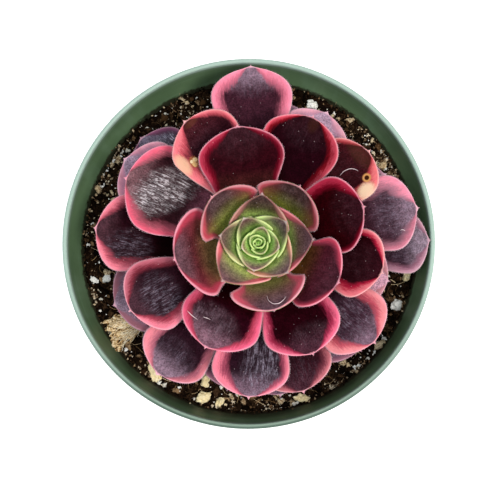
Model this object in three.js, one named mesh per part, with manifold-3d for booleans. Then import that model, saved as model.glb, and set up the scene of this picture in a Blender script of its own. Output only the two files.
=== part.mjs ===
// A potted aeonium: one rosette of fleshy leaves on a short stem, in soil, in a thin plastic pot.
// Millimetres, +Z up. The origin is the middle of the circle that the pot's foot stands on.

import * as THREE from 'three';
import { mergeVertices } from 'three/addons/utils/BufferGeometryUtils.js';
import Module from 'manifold-3d';

const wasm = await Module();
wasm.setup();

// Driving sizes
const potHeight = 111;
const rimRadius = 76;
const lipThickness = 2;
const wallThickness = 1.6;
const footRadius = 49.5;
const footWidth = 5;
const footRecess = 2.4;
const wallSlope = 0.145;
const collarHeight = 21;
const collarStep = 2.6;
const potSides = 48;
const footBevel = 1.6;

const drainHoles = 8;
const drainRadius = 4;
const drainRing = 45;

const soilDepth = 18;
const clearance = 0.3;
const soilRelief = 1.1;

const rosetteX = 5;
const rosetteY = -5;
const stemRadius = 6;
const stemTop = 10.4;
const stemSides = 16;
const leafScars = 5;
const scarDepth = 0.5;
const rootTip = -50;
const rootTipRadius = 2;

const goldenAngle = 137.5;
const firstLeafDirection = 155;
const topLeafSeat = 9.6;
const leafSpacing = 0.7;
const leafThickness = 2.2;
const marginThickness = 0.7;
const stalkHalfWidth = 3.2;
const stalkLength = 1.3;
const widestPlace = 0.4;
const tipBluntness = 2.3;
const tipFullness = 0.65;
const shoulderFullness = 1.5;
const mucroHalfWidth = 0.4;
const footHeadingShare = 0.35;
const curveReach = 0.36;
const footCupShare = 0.45;
const crownOverShare = 0.4;

// The thirteen youngest leaves, which make the heart. Each row holds the direction of the leaf's
// tip in degrees, its reach from the stem's axis, its height over the rim, the leaf's width
// along its curve, and the radius that it is cupped to.
const heartLeaves = [
  [152, 3.6, 27.6, 8, 2.9],
  [293, 5.0, 28.0, 9, 3.5],
  [71, 6.2, 28.2, 10.5, 4.2],
  [200, 6.8, 28.5, 14, 5.4],
  [344, 8.5, 29.0, 16, 6.2],
  [121, 10.7, 29.4, 19, 7.6],
  [262, 11.4, 29.5, 21, 8.4],
  [35, 13.2, 29.8, 22, 9.8],
  [171, 14.8, 30.0, 23, 10.8],
  [313, 16.4, 30.2, 24.5, 12],
  [85, 18.4, 30.5, 26.5, 14],
  [228, 20.2, 30.5, 28.5, 16],
  [2, 21.0, 30.5, 30, 18],
];
const heartSeatTop = 18.5;
const heartSeatStep = 0.6;
const heartCoreRadius = 5.2;
const heartFootRadius = [0.9, 4];
const heartThickness = [1.1, 2];
const heartCurl = -4;

// The leaves outside the heart, youngest first: the same five sizes, how many degrees the leaf
// curls up from its foot to its tip, how far its middle bows to the left, and how many degrees
// it is rolled to raise its left margin.
const outerLeaves = [
  [136, 24.4, 31, 30, 20, 10, -1],
  [283, 26.6, 30.5, 31, 22, 10, 0],
  [53, 26.2, 30.5, 29.5, 23, 10, -1.5],
  [192, 32.2, 29, 36, 29, 26, -2],
  [333, 33.8, 27.5, 30, 30, 20, 0],
  [100, 46.6, 24.5, 34, 40, 6, 0],
  [243, 44.2, 23.5, 32, 40, 8, 0],
  [19, 42.9, 23, 30.5, 38, 16, 1.5],
  [153, 59.2, 17, 38, 45, 14, -4, 12],
  [296, 46.6, 20, 31, 42, 10, 1.5],
  [67, 55.2, 19, 32, 40, 16, 0],
  [207, 56, 17, 29.5, 42, 14, -3.5],
  [347, 49, 16.5, 28, 38, 14, 3.5],
  [121, 57, 20, 31, 42, -6, -6, 12],
  [266, 58.7, 13, 30.5, 45, 6, 0],
  [41, 58.5, 12.5, 28, 42, 8, 0],
  [173, 66.2, 10.5, 31.5, 48, 10, 0],
  [320, 58.6, 10.5, 30, 46, 8, 2.5],
  [92.5, 75.2, 8.5, 33.5, 55, 4, 0],
  [231, 64, 8.5, 29, 50, 8, 0],
  [14, 65.3, 8, 31, 50, 6, 2.5],
  [146, 66.6, 6, 30, 55, 6, 0],
  [287, 59.4, 6, 29.5, 55, 4, 0],
  [63.5, 63, 5, 29, 60, 4, 1.5],
  [201, 62.9, 4, 30, 60, 6, 0],
  [346, 53.6, 3, 28, 60, 4, 0],
  [117, 46, 0.6, 26, 70, 4, 0],
  [257, 57.6, 1, 27, 70, 4, 0],
  [31, 60.6, 1, 27, 70, 4, 0],
  [168, 54, -1.5, 26, 70, 4, 0],
  [315, 57.6, -1, 27, 70, 4, 0],
  [80, 64, -1.5, 28, 70, 4, 0],
  [221, 54, -3.5, 26, 70, 4, 0],
  [3, 68.8, 2.4, 25.5, 70, 12, 0],
  [136, 70, -4, 28, 70, 4, 0],
  [278, 59.6, -5, 26, 70, 4, 0],
];

// Loose grit on the soil: place, length, width, height, turn in degrees and colour.
const chips = [
  [-39.6, -54.3, 9.0, 5.0, 2.6, 115, 0xd9c28a],
  [-18.8, -65.0, 6.6, 5.0, 3.0, 10, 0xe3cf9c],
  [-12.0, -67.0, 4.8, 3.8, 2.4, 40, 0xe0d0a0],
  [21.8, -65.0, 7.2, 4.0, 2.8, 170, 0xded0a4],
  [-17.9, -57.4, 7.4, 4.4, 2.6, 80, 0xd6c595],
  [27.8, 61.2, 5.4, 4.6, 3.2, 15, 0xe8e6dc],
  [67.0, -14.0, 5.2, 3.6, 2.6, 75, 0xcdbb96],
  [62.2, -26.4, 5.2, 4.4, 2.6, 30, 0xdedbd0],
  [-66.0, -15.6, 4.2, 2.8, 2.0, 150, 0xdcd7c8],
  [-60.8, -15.0, 4.4, 3.2, 2.0, 30, 0xd8d2c0],
];

const chipFoot = 0.6;

const driedLeafX = -50.5;
const driedLeafY = -35.5;
const driedLeafTurn = 204;
const driedLeafLength = 17;
const driedLeafWidth = 13.5;
const driedLeafWrinkle = 0.7;

const potPlastic = new THREE.MeshStandardMaterial({ color: 0x3f5a40, roughness: 0.5, metalness: 0 });
const pottingMix = new THREE.MeshStandardMaterial({ color: 0x1f1611, roughness: 1, metalness: 0 });
const stemBark = new THREE.MeshStandardMaterial({ color: 0x6b5a45, roughness: 0.9, metalness: 0 });
const heartGreen = new THREE.MeshStandardMaterial({ color: 0x9cc069, roughness: 0.5, metalness: 0 });
const burgundy = new THREE.MeshStandardMaterial({ color: 0x4a1020, roughness: 0.45, metalness: 0 });
const oldPurple = new THREE.MeshStandardMaterial({ color: 0x54404e, roughness: 0.55, metalness: 0 });
const dryTan = new THREE.MeshStandardMaterial({ color: 0xb39b73, roughness: 0.9, metalness: 0 });

const rimHeight = potHeight;
const soilTop = rimHeight - soilDepth;
const radians = THREE.MathUtils.degToRad;
const smooth = THREE.MathUtils.smoothstep;

// One mesh, in the group that is exported.
const plant = new THREE.Group();
function addPiece(name, geometry, material) {
  const mesh = new THREE.Mesh(geometry, material);
  mesh.name = name;
  plant.add(mesh);
  return mesh;
}

// Booleans: a closed geometry to a solid, and back.
function toSolid(geometry) {
  const bare = geometry.clone();
  bare.deleteAttribute('normal');
  bare.deleteAttribute('uv');
  const merged = mergeVertices(bare, 1e-4);
  const vertProperties = new Float32Array(merged.attributes.position.array);
  const triVerts = new Uint32Array(merged.index.array);
  return new wasm.Manifold(new wasm.Mesh({ numProp: 3, vertProperties, triVerts }));
}

function toGeometry(solid) {
  const mesh = solid.getMesh();
  const geometry = new THREE.BufferGeometry();
  geometry.setAttribute('position', new THREE.BufferAttribute(new Float32Array(mesh.vertProperties), 3));
  geometry.setIndex(new THREE.BufferAttribute(new Uint32Array(mesh.triVerts), 1));
  geometry.computeVertexNormals();
  return geometry;
}

// A solid of revolution about +Z from a profile of radius and height that starts and ends on the axis.
function turned(profile, sides) {
  const points = profile.map(([radius, height]) => new THREE.Vector2(radius, height));
  const geometry = new THREE.LatheGeometry(points, sides);
  geometry.rotateX(Math.PI / 2);
  return geometry;
}

// A closed thin solid between two grids of points that have the same rows and columns.
function slab(topRows, bottomRows) {
  const rows = topRows.length;
  const columns = topRows[0].length;
  const positions = [...topRows.flat(), ...bottomRows.flat()].flatMap((p) => [p.x, p.y, p.z]);
  const top = (row, column) => row * columns + column;
  const bottom = (row, column) => rows * columns + row * columns + column;
  const index = [];
  for (let row = 0; row < rows - 1; row += 1) {
    for (let column = 0; column < columns - 1; column += 1) {
      const next = column + 1;
      index.push(top(row, column), top(row + 1, column), top(row + 1, next));
      index.push(top(row, column), top(row + 1, next), top(row, next));
      index.push(bottom(row, column), bottom(row + 1, next), bottom(row + 1, column));
      index.push(bottom(row, column), bottom(row, next), bottom(row + 1, next));
    }
  }
  const edge = [];
  for (let row = 0; row < rows - 1; row += 1) edge.push([row, 0]);
  for (let column = 0; column < columns - 1; column += 1) edge.push([rows - 1, column]);
  for (let row = rows - 1; row > 0; row -= 1) edge.push([row, columns - 1]);
  for (let column = columns - 1; column > 0; column -= 1) edge.push([0, column]);
  edge.forEach(([row, column], i) => {
    const [nextRow, nextColumn] = edge[(i + 1) % edge.length];
    index.push(top(row, column), bottom(row, column), bottom(nextRow, nextColumn));
    index.push(top(row, column), bottom(nextRow, nextColumn), top(nextRow, nextColumn));
  });
  const geometry = new THREE.BufferGeometry();
  geometry.setAttribute('position', new THREE.Float32BufferAttribute(positions, 3));
  geometry.setIndex(index);
  geometry.computeVertexNormals();
  return geometry;
}

// The inside of the pot's wall at a height: the collar round the top, then the narrower body.
const collarFoot = rimHeight - collarHeight;
const collarStart = collarFoot + collarStep;
const bodyTop = collarFoot - 0.3 * collarStep;
const floorTop = footRecess + wallThickness;
function wallInside(height) {
  const collar = rimRadius - lipThickness - wallSlope * (rimHeight - height);
  return height >= collarStart ? collar : collar - collarStep;
}

function makePot() {
  const collarFootRadius = rimRadius - wallSlope * collarHeight;
  const profile = [
    [0, footRecess],
    [footRadius - footWidth - 1, footRecess],
    [footRadius - footWidth, 0],
    [footRadius, 0],
    [footRadius + footBevel, footBevel],
    [wallInside(bodyTop) + wallThickness, bodyTop],
    [collarFootRadius, collarFoot + 1],
    [rimRadius - 0.5, rimHeight - 3.6],
    [rimRadius, rimHeight - 1.8],
    [rimRadius - 0.2, rimHeight - 0.6],
    [rimRadius - 0.8, rimHeight],
    [rimRadius - 1.6, rimHeight - 0.2],
    [rimRadius - lipThickness, rimHeight - 1],
    [wallInside(collarStart), collarStart],
    [wallInside(bodyTop), bodyTop],
    [footRadius - 0.2, floorTop + 0.6],
    [footRadius - 1.4, floorTop],
    [0, floorTop],
  ];
  let solid = toSolid(turned(profile, potSides));
  for (let hole = 0; hole < drainHoles; hole += 1) {
    const cutter = new THREE.CylinderGeometry(drainRadius, drainRadius, 4 * footRecess, 12);
    cutter.rotateX(Math.PI / 2);
    const turn = (hole / drainHoles) * 2 * Math.PI;
    cutter.translate(drainRing * Math.cos(turn), drainRing * Math.sin(turn), footRecess);
    solid = solid.subtract(toSolid(cutter));
  }
  return toGeometry(solid);
}

// Low clods over the soil's surface.
function soilHeight(x, y) {
  const broad = Math.sin(0.11 * x + 1.3) * Math.cos(0.13 * y - 0.4);
  const middle = Math.sin(0.37 * x - 0.21 * y) * Math.cos(0.33 * y + 0.17 * x + 2);
  const small = Math.sin(0.9 * x + 0.5 * y) * Math.sin(0.8 * y - 0.4 * x + 1);
  const fromStem = Math.hypot(x - rosetteX, y - rosetteY);
  const calm = smooth(fromStem, stemRadius + 1, stemRadius + 14);
  return soilTop + soilRelief * calm * (0.4 * broad + 0.4 * middle + 0.35 * small);
}

function makeSoil() {
  const rings = [9, 17, 25, 33, 41, 49, 56, 62, 67];
  const underside = [
    [wallInside(collarStart) - clearance, collarStart + clearance],
    [wallInside(bodyTop) - clearance, bodyTop + clearance],
    [footRadius - 0.2 - clearance, floorTop + 0.6 + clearance],
    [footRadius - 1.5 - clearance, floorTop + clearance],
  ];
  const floorHeight = underside[underside.length - 1][1];
  const positions = [0, 0, soilHeight(0, 0)];
  const rows = [];
  const addRow = (radiusAt, heightAt) => {
    const row = [];
    for (let side = 0; side < potSides; side += 1) {
      const turn = (side / potSides) * 2 * Math.PI;
      const radius = radiusAt(turn);
      const x = radius * Math.cos(turn);
      const y = radius * Math.sin(turn);
      row.push(positions.length / 3);
      positions.push(x, y, heightAt(x, y));
    }
    rows.push(row);
  };
  rings.forEach((radius) => addRow(() => radius, soilHeight));
  addRow(() => wallInside(soilTop) - clearance - 0.1, soilHeight);
  underside.forEach(([radius, height]) => addRow(() => radius, () => height));
  const bottomCentre = positions.length / 3;
  positions.push(0, 0, floorHeight);
  const index = [];
  for (let side = 0; side < potSides; side += 1) {
    const next = (side + 1) % potSides;
    index.push(0, rows[0][side], rows[0][next]);
    for (let row = 0; row < rows.length - 1; row += 1) {
      index.push(rows[row][side], rows[row + 1][side], rows[row + 1][next]);
      index.push(rows[row][side], rows[row + 1][next], rows[row][next]);
    }
    const last = rows[rows.length - 1];
    index.push(last[side], bottomCentre, last[next]);
  }
  const geometry = new THREE.BufferGeometry();
  geometry.setAttribute('position', new THREE.Float32BufferAttribute(positions, 3));
  geometry.setIndex(index);
  const socket = turned(stemProfile(clearance), stemSides);
  socket.translate(rosetteX, rosetteY, 0);
  return toGeometry(toSolid(geometry).subtract(toSolid(socket)));
}

// The stem, ringed with leaf scars, runs down to a blunt root.
function stemProfile(extra) {
  const top = rimHeight + stemTop;
  const root = rimHeight + rootTip;
  const profile = [
    [0, root - extra],
    [rootTipRadius + extra, root - extra],
    [2 * rootTipRadius + extra, root + 16],
  ];
  const firstScar = soilTop - 3;
  for (let scar = 0; scar <= leafScars; scar += 1) {
    const height = firstScar + (scar / leafScars) * (top - firstScar - 1);
    profile.push([stemRadius - scarDepth + extra, height]);
    if (scar < leafScars) profile.push([stemRadius + extra, height + 2.4]);
  }
  profile.push([stemRadius - 2 * scarDepth + extra, top], [0, top]);
  return profile;
}

function makeStem() {
  const geometry = turned(stemProfile(0), stemSides);
  geometry.translate(rosetteX, rosetteY, 0);
  return geometry;
}

// Half the leaf's width at a distance back from its tip: a blunt cusp, the widest place,
// a long taper, and a narrow stalk down to the foot.
function halfWidth(back, width, length) {
  const widest = widestPlace * width;
  const bladeEnd = Math.min(stalkLength * width, length);
  const stalk = Math.min(stalkHalfWidth, 0.3 * width);
  if (back <= widest) {
    const share = (1 - (1 - back / widest) ** tipBluntness) ** tipFullness;
    return Math.max(mucroHalfWidth, share * width / 2);
  }
  const taper = Math.min((back - widest) / (bladeEnd - widest), 1);
  return stalk + (width / 2 - stalk) * (1 - taper ** shoulderFullness);
}

// A leaf as a thick curved blade. Its middle line is a curve from the foot on the stem to the tip.
function leafGeometry(leaf) {
  const { foot, footDirection, tip, curl, lean, roll, width, cup, thickness, columns, heldRadius } = leaf;
  const run = tip.clone().sub(foot);
  const chord = run.length();
  const flat = Math.hypot(run.x, run.y);
  const rise = Math.atan2(run.z, flat);
  const footRise = rise - radians(curl);
  const tipRise = rise + radians(curl);
  const tipDirection = Math.atan2(run.y, run.x);
  const turnToTip = tipDirection - footDirection;
  const swing = Math.atan2(Math.sin(turnToTip), Math.cos(turnToTip));
  const footHeading = tipDirection - swing * footHeadingShare;
  const heading = (direction, climb) => new THREE.Vector3(
    Math.cos(direction) * Math.cos(climb), Math.sin(direction) * Math.cos(climb), Math.sin(climb));
  const reachOut = chord * curveReach;
  const aside = new THREE.Vector3(-Math.sin(tipDirection), Math.cos(tipDirection), 0).multiplyScalar(lean);
  const middleLine = new THREE.CubicBezierCurve3(
    foot,
    foot.clone().addScaledVector(heading(footHeading, footRise), reachOut).add(aside),
    tip.clone().addScaledVector(heading(tipDirection, tipRise), -reachOut).add(aside),
    tip,
  );
  const length = middleLine.getLength();
  const widest = widestPlace * width;
  const bladeEnd = Math.min(stalkLength * width, length * 0.92);
  const stations = [length, bladeEnd, 0.62 * bladeEnd + 0.38 * widest, 0.28 * bladeEnd + 0.72 * widest,
    widest, 0.6 * widest, 0.3 * widest, 0.1 * widest, 0];
  const axis = new THREE.Vector3(rosetteX, rosetteY, 0);
  const topRows = [];
  const bottomRows = [];
  stations.forEach((back) => {
    const along = THREE.MathUtils.clamp(1 - back / length, 0, 1);
    const centre = middleLine.getPointAt(along);
    const tangent = middleLine.getTangentAt(along);
    const direction = footDirection + swing * smooth(along, 0, 0.4);
    const side = new THREE.Vector3(-Math.sin(direction), Math.cos(direction), 0);
    side.addScaledVector(tangent, -side.dot(tangent)).normalize();
    side.applyAxisAngle(tangent, radians(roll) * smooth(along, 0, 0.5));
    const up = new THREE.Vector3().crossVectors(tangent, side);
    const half = halfWidth(back, width, length);
    const bend = cup * (footCupShare + (1 - footCupShare) * smooth(along, 0, 1 - widest / length));
    const fullness = 0.75 + 0.25 * Math.sqrt(half / (width / 2));
    const middleThickness = thickness * fullness * smooth(back, -4, 4 + 0.2 * length);
    const topRow = [];
    const bottomRow = [];
    for (let column = 0; column <= columns; column += 1) {
      const across = (2 * column) / columns - 1;
      const angle = (across * half) / bend;
      const point = centre.clone()
        .addScaledVector(side, bend * Math.sin(angle))
        .addScaledVector(up, bend * (1 - Math.cos(angle)));
      const normal = up.clone().multiplyScalar(Math.cos(angle)).addScaledVector(side, -Math.sin(angle));
      const crown = Math.max(middleThickness - marginThickness, 0) * (1 - across * across);
      const over = marginThickness / 2 + crown * crownOverShare;
      const under = marginThickness / 2 + crown * (1 - crownOverShare);
      topRow.push(point.clone().addScaledVector(normal, over));
      bottomRow.push(point.clone().addScaledVector(normal, -under));
    }
    if (back === length) {
      [...topRow, ...bottomRow].forEach((point) => {
        const fromAxis = point.clone().sub(axis);
        const radius = Math.hypot(fromAxis.x, fromAxis.y);
        point.x = axis.x + (fromAxis.x * heldRadius) / radius;
        point.y = axis.y + (fromAxis.y * heldRadius) / radius;
      });
    }
    topRows.push(topRow);
    bottomRows.push(bottomRow);
  });
  return slab(topRows, bottomRows);
}

function placeOnRosette(direction, radius, heightOverRim) {
  return new THREE.Vector3(
    rosetteX + radius * Math.cos(direction),
    rosetteY + radius * Math.sin(direction),
    rimHeight + heightOverRim,
  );
}

function makeHeart() {
  const base = rimHeight + stemTop + clearance;
  const core = turned([
    [0, base],
    [heartCoreRadius, base],
    [heartCoreRadius - 0.2, base + 1.6],
    [3.6, base + 5],
    [2.2, base + 8.5],
    [1.7, base + 13],
    [0.9, base + 15.4],
    [0, base + 16],
  ], 10);
  core.translate(rosetteX, rosetteY, 0);
  let solid = toSolid(core);
  heartLeaves.forEach(([direction, reach, tipHeight, width, cup], order) => {
    const share = order / (heartLeaves.length - 1);
    const footDirection = radians(firstLeafDirection + goldenAngle * order);
    const heldRadius = THREE.MathUtils.lerp(...heartFootRadius, share);
    const leaf = leafGeometry({
      foot: placeOnRosette(footDirection, heldRadius, heartSeatTop - heartSeatStep * order),
      footDirection,
      tip: placeOnRosette(radians(direction), reach, tipHeight),
      curl: heartCurl,
      lean: 0,
      roll: 0,
      width,
      cup,
      thickness: THREE.MathUtils.lerp(...heartThickness, share),
      columns: 6,
      heldRadius,
    });
    solid = solid.add(toSolid(leaf));
  });
  return toGeometry(solid);
}

function makeOuterLeaf(row, order) {
  const [direction, reach, tipHeight, width, cup, curl, lean, roll = 0] = row;
  const rank = heartLeaves.length + order;
  const footDirection = radians(firstLeafDirection + goldenAngle * rank);
  const heldRadius = stemRadius + clearance;
  return leafGeometry({
    foot: placeOnRosette(footDirection, heldRadius, topLeafSeat - leafSpacing * order),
    footDirection,
    tip: placeOnRosette(radians(direction), reach, tipHeight),
    curl: curl / 2,
    lean,
    roll,
    width,
    cup,
    thickness: leafThickness,
    columns: 4,
    heldRadius,
  });
}

// The highest soil under a small piece, so that the piece lies on it.
const down = new THREE.Vector3(0, 0, -1);
function restingHeight(soil, x, y, radius) {
  let highest = 0;
  for (let turn = 0; turn < 12; turn += 1) {
    const angle = (turn / 12) * 2 * Math.PI;
    for (const part of [0, 0.5, 1]) {
      const px = x + part * radius * Math.cos(angle);
      const py = y + part * radius * Math.sin(angle);
      const ray = new THREE.Raycaster(new THREE.Vector3(px, py, rimHeight), down);
      const hit = ray.intersectObject(soil)[0];
      if (hit) highest = Math.max(highest, hit.point.z);
    }
  }
  return highest + clearance;
}

function makeChip(soil, [x, y, length, width, height, turn], order) {
  const geometry = new THREE.IcosahedronGeometry(1, 1);
  const position = geometry.attributes.position;
  for (let i = 0; i < position.count; i += 1) {
    const px = position.getX(i);
    const py = position.getY(i);
    const pz = position.getZ(i);
    const wave = Math.sin(5 * px + order) * Math.cos(4 * py - order);
    const lump = 1 + 0.12 * wave + 0.08 * Math.sin(7 * pz + order);
    const flatFoot = Math.max(pz * lump, -chipFoot);
    position.setXYZ(i, (px * lump * length) / 2, (py * lump * width) / 2, (flatFoot * height) / (1 + chipFoot));
  }
  geometry.deleteAttribute('normal');
  geometry.deleteAttribute('uv');
  const chip = mergeVertices(geometry, 1e-4);
  chip.rotateZ(radians(turn));
  const lowest = (-chipFoot * height) / (1 + chipFoot);
  chip.translate(x, y, restingHeight(soil, x, y, 0.4 * length) - lowest);
  chip.computeVertexNormals();
  return chip;
}

// A shed leaf, dried to a wrinkled fan, lying on the soil.
function makeDriedLeaf(soil) {
  const turn = radians(driedLeafTurn);
  const rest = restingHeight(soil, driedLeafX, driedLeafY, driedLeafWidth / 2);
  const topRows = [];
  const bottomRows = [];
  const stations = 7;
  const columns = 8;
  for (let station = 0; station <= stations; station += 1) {
    const along = station / stations;
    const half = (driedLeafWidth / 2) * (0.12 + 0.88 * Math.sin(Math.PI * Math.min(along * 0.62, 0.6) ** 1.1));
    const topRow = [];
    const bottomRow = [];
    for (let column = 0; column <= columns; column += 1) {
      const across = (2 * column) / columns - 1;
      const u = (along - 0.55) * driedLeafLength;
      const v = across * half;
      const fold = driedLeafWrinkle * (1 + Math.cos(across * 9 + along * 2)) * smooth(along, 0, 0.4);
      const arch = 2.2 * (1 - across * across) * Math.sin(Math.PI * along);
      const x = driedLeafX + u * Math.cos(turn) - v * Math.sin(turn);
      const y = driedLeafY + u * Math.sin(turn) + v * Math.cos(turn);
      const z = rest + 0.2 + fold + arch;
      topRow.push(new THREE.Vector3(x, y, z + 0.8));
      bottomRow.push(new THREE.Vector3(x, y, z));
    }
    topRows.push(topRow);
    bottomRows.push(bottomRow);
  }
  return slab(topRows, bottomRows);
}

addPiece('pot', makePot(), potPlastic);
const soil = addPiece('soil', makeSoil(), pottingMix);
addPiece('stem', makeStem(), stemBark);
addPiece('heart', makeHeart(), heartGreen);
outerLeaves.forEach((row, order) => {
  const number = String(order + 1).padStart(2, '0');
  const old = order > 20;
  addPiece(`leaf_${number}`, makeOuterLeaf(row, order), old ? oldPurple : burgundy);
});
addPiece('dried_leaf', makeDriedLeaf(soil), dryTan);
chips.forEach((row, order) => {
  const colour = row[6];
  const material = new THREE.MeshStandardMaterial({ color: colour, roughness: 0.9, metalness: 0 });
  addPiece(`chip_${String(order + 1).padStart(2, '0')}`, makeChip(soil, row, order), material);
});

export default plant;
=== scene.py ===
# A potted aeonium from above: a green and burgundy rosette in a 6 inch green nursery pot
# Tables are in millimetres, the scene is in metres, +Z is up and the pot stands at z = 0

import math
import random
from functools import partial

import bpy
import numpy as np
from mathutils import Matrix, Vector, noise


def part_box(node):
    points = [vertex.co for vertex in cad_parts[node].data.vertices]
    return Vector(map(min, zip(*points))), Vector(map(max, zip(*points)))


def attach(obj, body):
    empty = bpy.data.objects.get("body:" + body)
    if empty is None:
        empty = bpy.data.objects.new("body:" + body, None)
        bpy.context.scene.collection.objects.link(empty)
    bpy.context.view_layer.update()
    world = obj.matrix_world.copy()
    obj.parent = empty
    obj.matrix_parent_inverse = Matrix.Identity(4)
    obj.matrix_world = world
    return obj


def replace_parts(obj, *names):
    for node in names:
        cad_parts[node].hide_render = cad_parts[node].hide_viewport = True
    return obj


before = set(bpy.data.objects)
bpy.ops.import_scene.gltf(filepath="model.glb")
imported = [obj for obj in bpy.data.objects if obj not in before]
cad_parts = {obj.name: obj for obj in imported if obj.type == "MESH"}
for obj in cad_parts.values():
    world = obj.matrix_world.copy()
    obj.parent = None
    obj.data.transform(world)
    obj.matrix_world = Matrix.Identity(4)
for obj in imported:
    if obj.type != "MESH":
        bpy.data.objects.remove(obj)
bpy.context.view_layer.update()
scene = bpy.context.scene
mm = 0.001
wholeTurn = 6.28           # for directions that are drawn at random
print("frame loaded:", len(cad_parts), "solids")


# small helpers

def linearColour(hexText):
    # an sRGB hex value as linear red, green, blue and alpha
    channels = [int(hexText[i:i + 2], 16) / 255 for i in (1, 3, 5)]
    return [c / 12.92 if c <= 0.04045 else ((c + 0.055) / 1.055) ** 2.4 for c in channels] + [1.0]


def mixHex(first, second, share):
    pairs = [(int(first[i:i + 2], 16), int(second[i:i + 2], 16)) for i in (1, 3, 5)]
    return "#" + "".join("%02x" % round(a + (b - a) * share) for a, b in pairs)


def smoothStep(value, low, high):
    t = np.clip((value - low) / (high - low), 0, 1)
    return t * t * (3 - 2 * t)


def onCircle(radius, turn):
    return radius * math.cos(turn), radius * math.sin(turn)


# settings that many nodes share
smooth = {"interpolation_type": "SMOOTHSTEP"}
rgba = {"data_type": "RGBA"}
times, plus, minus = {"operation": "MULTIPLY"}, {"operation": "ADD"}, {"operation": "SUBTRACT"}
timesPlus = {"operation": "MULTIPLY_ADD"}


def addNode(tree, kind, *values, stops=(), **settings):
    # one node with its settings: a dictionary fills its inputs by name, other values fill the shown ones in order,
    # and a node or an output among them is linked
    node = tree.nodes.new("ShaderNode" + kind)
    for name, value in settings.items():
        setattr(node, name, value)
    if values and isinstance(values[0], dict):
        pairs = [(node.inputs[name], value) for name, value in values[0].items()]
    else:
        pairs = zip([socket for socket in node.inputs if socket.enabled], values)
    for socket, value in pairs:
        if isinstance(value, bpy.types.Node):
            value = next(output for output in value.outputs if output.enabled)
        if isinstance(value, bpy.types.NodeSocket):
            tree.links.new(value, socket)
        else:
            socket.default_value = value
    for number, (place, colour) in enumerate(stops):
        elements = node.color_ramp.elements
        element = elements[number] if number < 2 else elements.new(place)
        element.position, element.color = place, linearColour(colour)
    return node


def newMaterial(name):
    # an empty material, and addNode for its tree
    material = bpy.data.materials.new(name)
    material.use_nodes = True
    material.node_tree.nodes.clear()
    return material, partial(addNode, material.node_tree)


def makeObject(name, vertices, faces, materials, materialIndex=None, values=None):
    # vertices in millimetres; values is {attribute name: one number for each vertex}
    mesh = bpy.data.meshes.new(name)
    mesh.from_pydata((np.asarray(vertices) * mm).tolist(), [], faces)
    mesh.validate()
    for material in materials:
        mesh.materials.append(material)
    if materialIndex is not None:
        mesh.polygons.foreach_set("material_index", materialIndex)
    mesh.polygons.foreach_set("use_smooth", [True] * len(mesh.polygons))
    for key, numbers in (values or {}).items():
        attribute = mesh.attributes.new(key, "FLOAT", "POINT")
        attribute.data.foreach_set("value", np.asarray(numbers, dtype=np.float32))
    piece = bpy.data.objects.new(name, mesh)
    scene.collection.objects.link(piece)
    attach(piece, "root")
    return piece


def ringFaces(rings, sides, first=0):
    # quads between rings of points that follow each other
    return [(a + side, a + sides + side, a + sides + (side + 1) % sides, a + (side + 1) % sides)
            for a in range(first, first + (rings - 1) * sides, sides) for side in range(sides)]


def joined(parts):
    # many meshes as one, each given by its points, its faces and one shade or a shade for each point
    vertices, faces, shades = [], [], []
    for points, polygons, shade in parts:
        faces += (np.asarray(polygons) + len(vertices)).tolist()
        vertices += np.asarray(points).tolist()
        shades += np.broadcast_to(shade, len(points)).tolist()
    return vertices, faces, {"shade": shades}


# camera: a little in front of straight down, 315 mm over the rim

camera = {
    "aim": (0, 0, 111),        # middle of the rim
    "distance": 315,
    "tilt": 7.5,               # degrees off straight down
    "towards": -75,            # where the camera leans to, in degrees from +X
    "pixels": 500,             # width of the picture
    "focalPixels": 774.9,      # focal length in those pixels
    "centreOffset": (-2.824, -11.941),   # the picture's middle lies off the lens axis by this, in pixels
}


def placeCamera(view):
    tilt, towards = math.radians(view["tilt"]), math.radians(view["towards"])
    back = Vector((*onCircle(math.sin(tilt), towards), math.cos(tilt)))
    up = Vector((0, 1, 0))
    up = (up - back * up.dot(back)).normalized()
    right = up.cross(back)
    data = bpy.data.cameras.new("overheadCamera")
    data.sensor_width = 36
    data.lens = view["focalPixels"] / view["pixels"] * data.sensor_width
    data.shift_x = -view["centreOffset"][0] / view["pixels"]
    data.shift_y = view["centreOffset"][1] / view["pixels"]
    data.clip_start, data.clip_end = 0.01, 10
    eye = bpy.data.objects.new("overheadCamera", data)
    place = Vector(view["aim"]) * mm + back * view["distance"] * mm
    turn = Matrix((right, up, back)).transposed().to_4x4()
    eye.matrix_world = Matrix.Translation(place) @ turn
    scene.collection.objects.link(eye)
    scene.camera = eye


placeCamera(camera)
print("camera placed")


# nursery pot

pot = {
    "height": 111,
    "rimRadius": 76,
    "lip": 2,
    "lipRise": 0.95,
    "wall": 1.6,
    "footRadius": 49.5,
    "footWidth": 5,
    "footRecess": 2.4,
    "footBevel": 1.6,
    "slope": 0.145,
    "collarHeight": 21,
    "collarStep": 2.6,
    "drainHoles": 8,
    "drainRadius": 4,
    "drainRing": 45,
    "sides": 192,
    "creaseAngle": 35,
    # colours
    "green": ("#587352", "#66835f"),
    "streaks": "#86a48c",
    "scuffs": "#8fae98",
    # painted shade: the front wall, painted darker towards the soil
    "lowFrontShade": "#38432f",
    "crumbs": "#241a10",
    # painted highlight and shade of the rim: the band under the lip and the lip painted pale, the front of the lip
    # painted darker outside with a pale line inside
    "shoulderHighlight": "#7f9684",
    "paleLipHighlight": "#acc5b8",
    "frontLipShading": ("#566c5f", "#94ab9a"),     # outside and inside
}
collarFoot = pot["height"] - pot["collarHeight"]
collarStart = collarFoot + pot["collarStep"]
bodyTop = collarFoot - 0.3 * pot["collarStep"]
floorTop = pot["footRecess"] + pot["wall"]


def wallInside(height):
    collar = pot["rimRadius"] - pot["lip"] - pot["slope"] * (pot["height"] - height)
    return collar if height >= collarStart else collar - pot["collarStep"]


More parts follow.
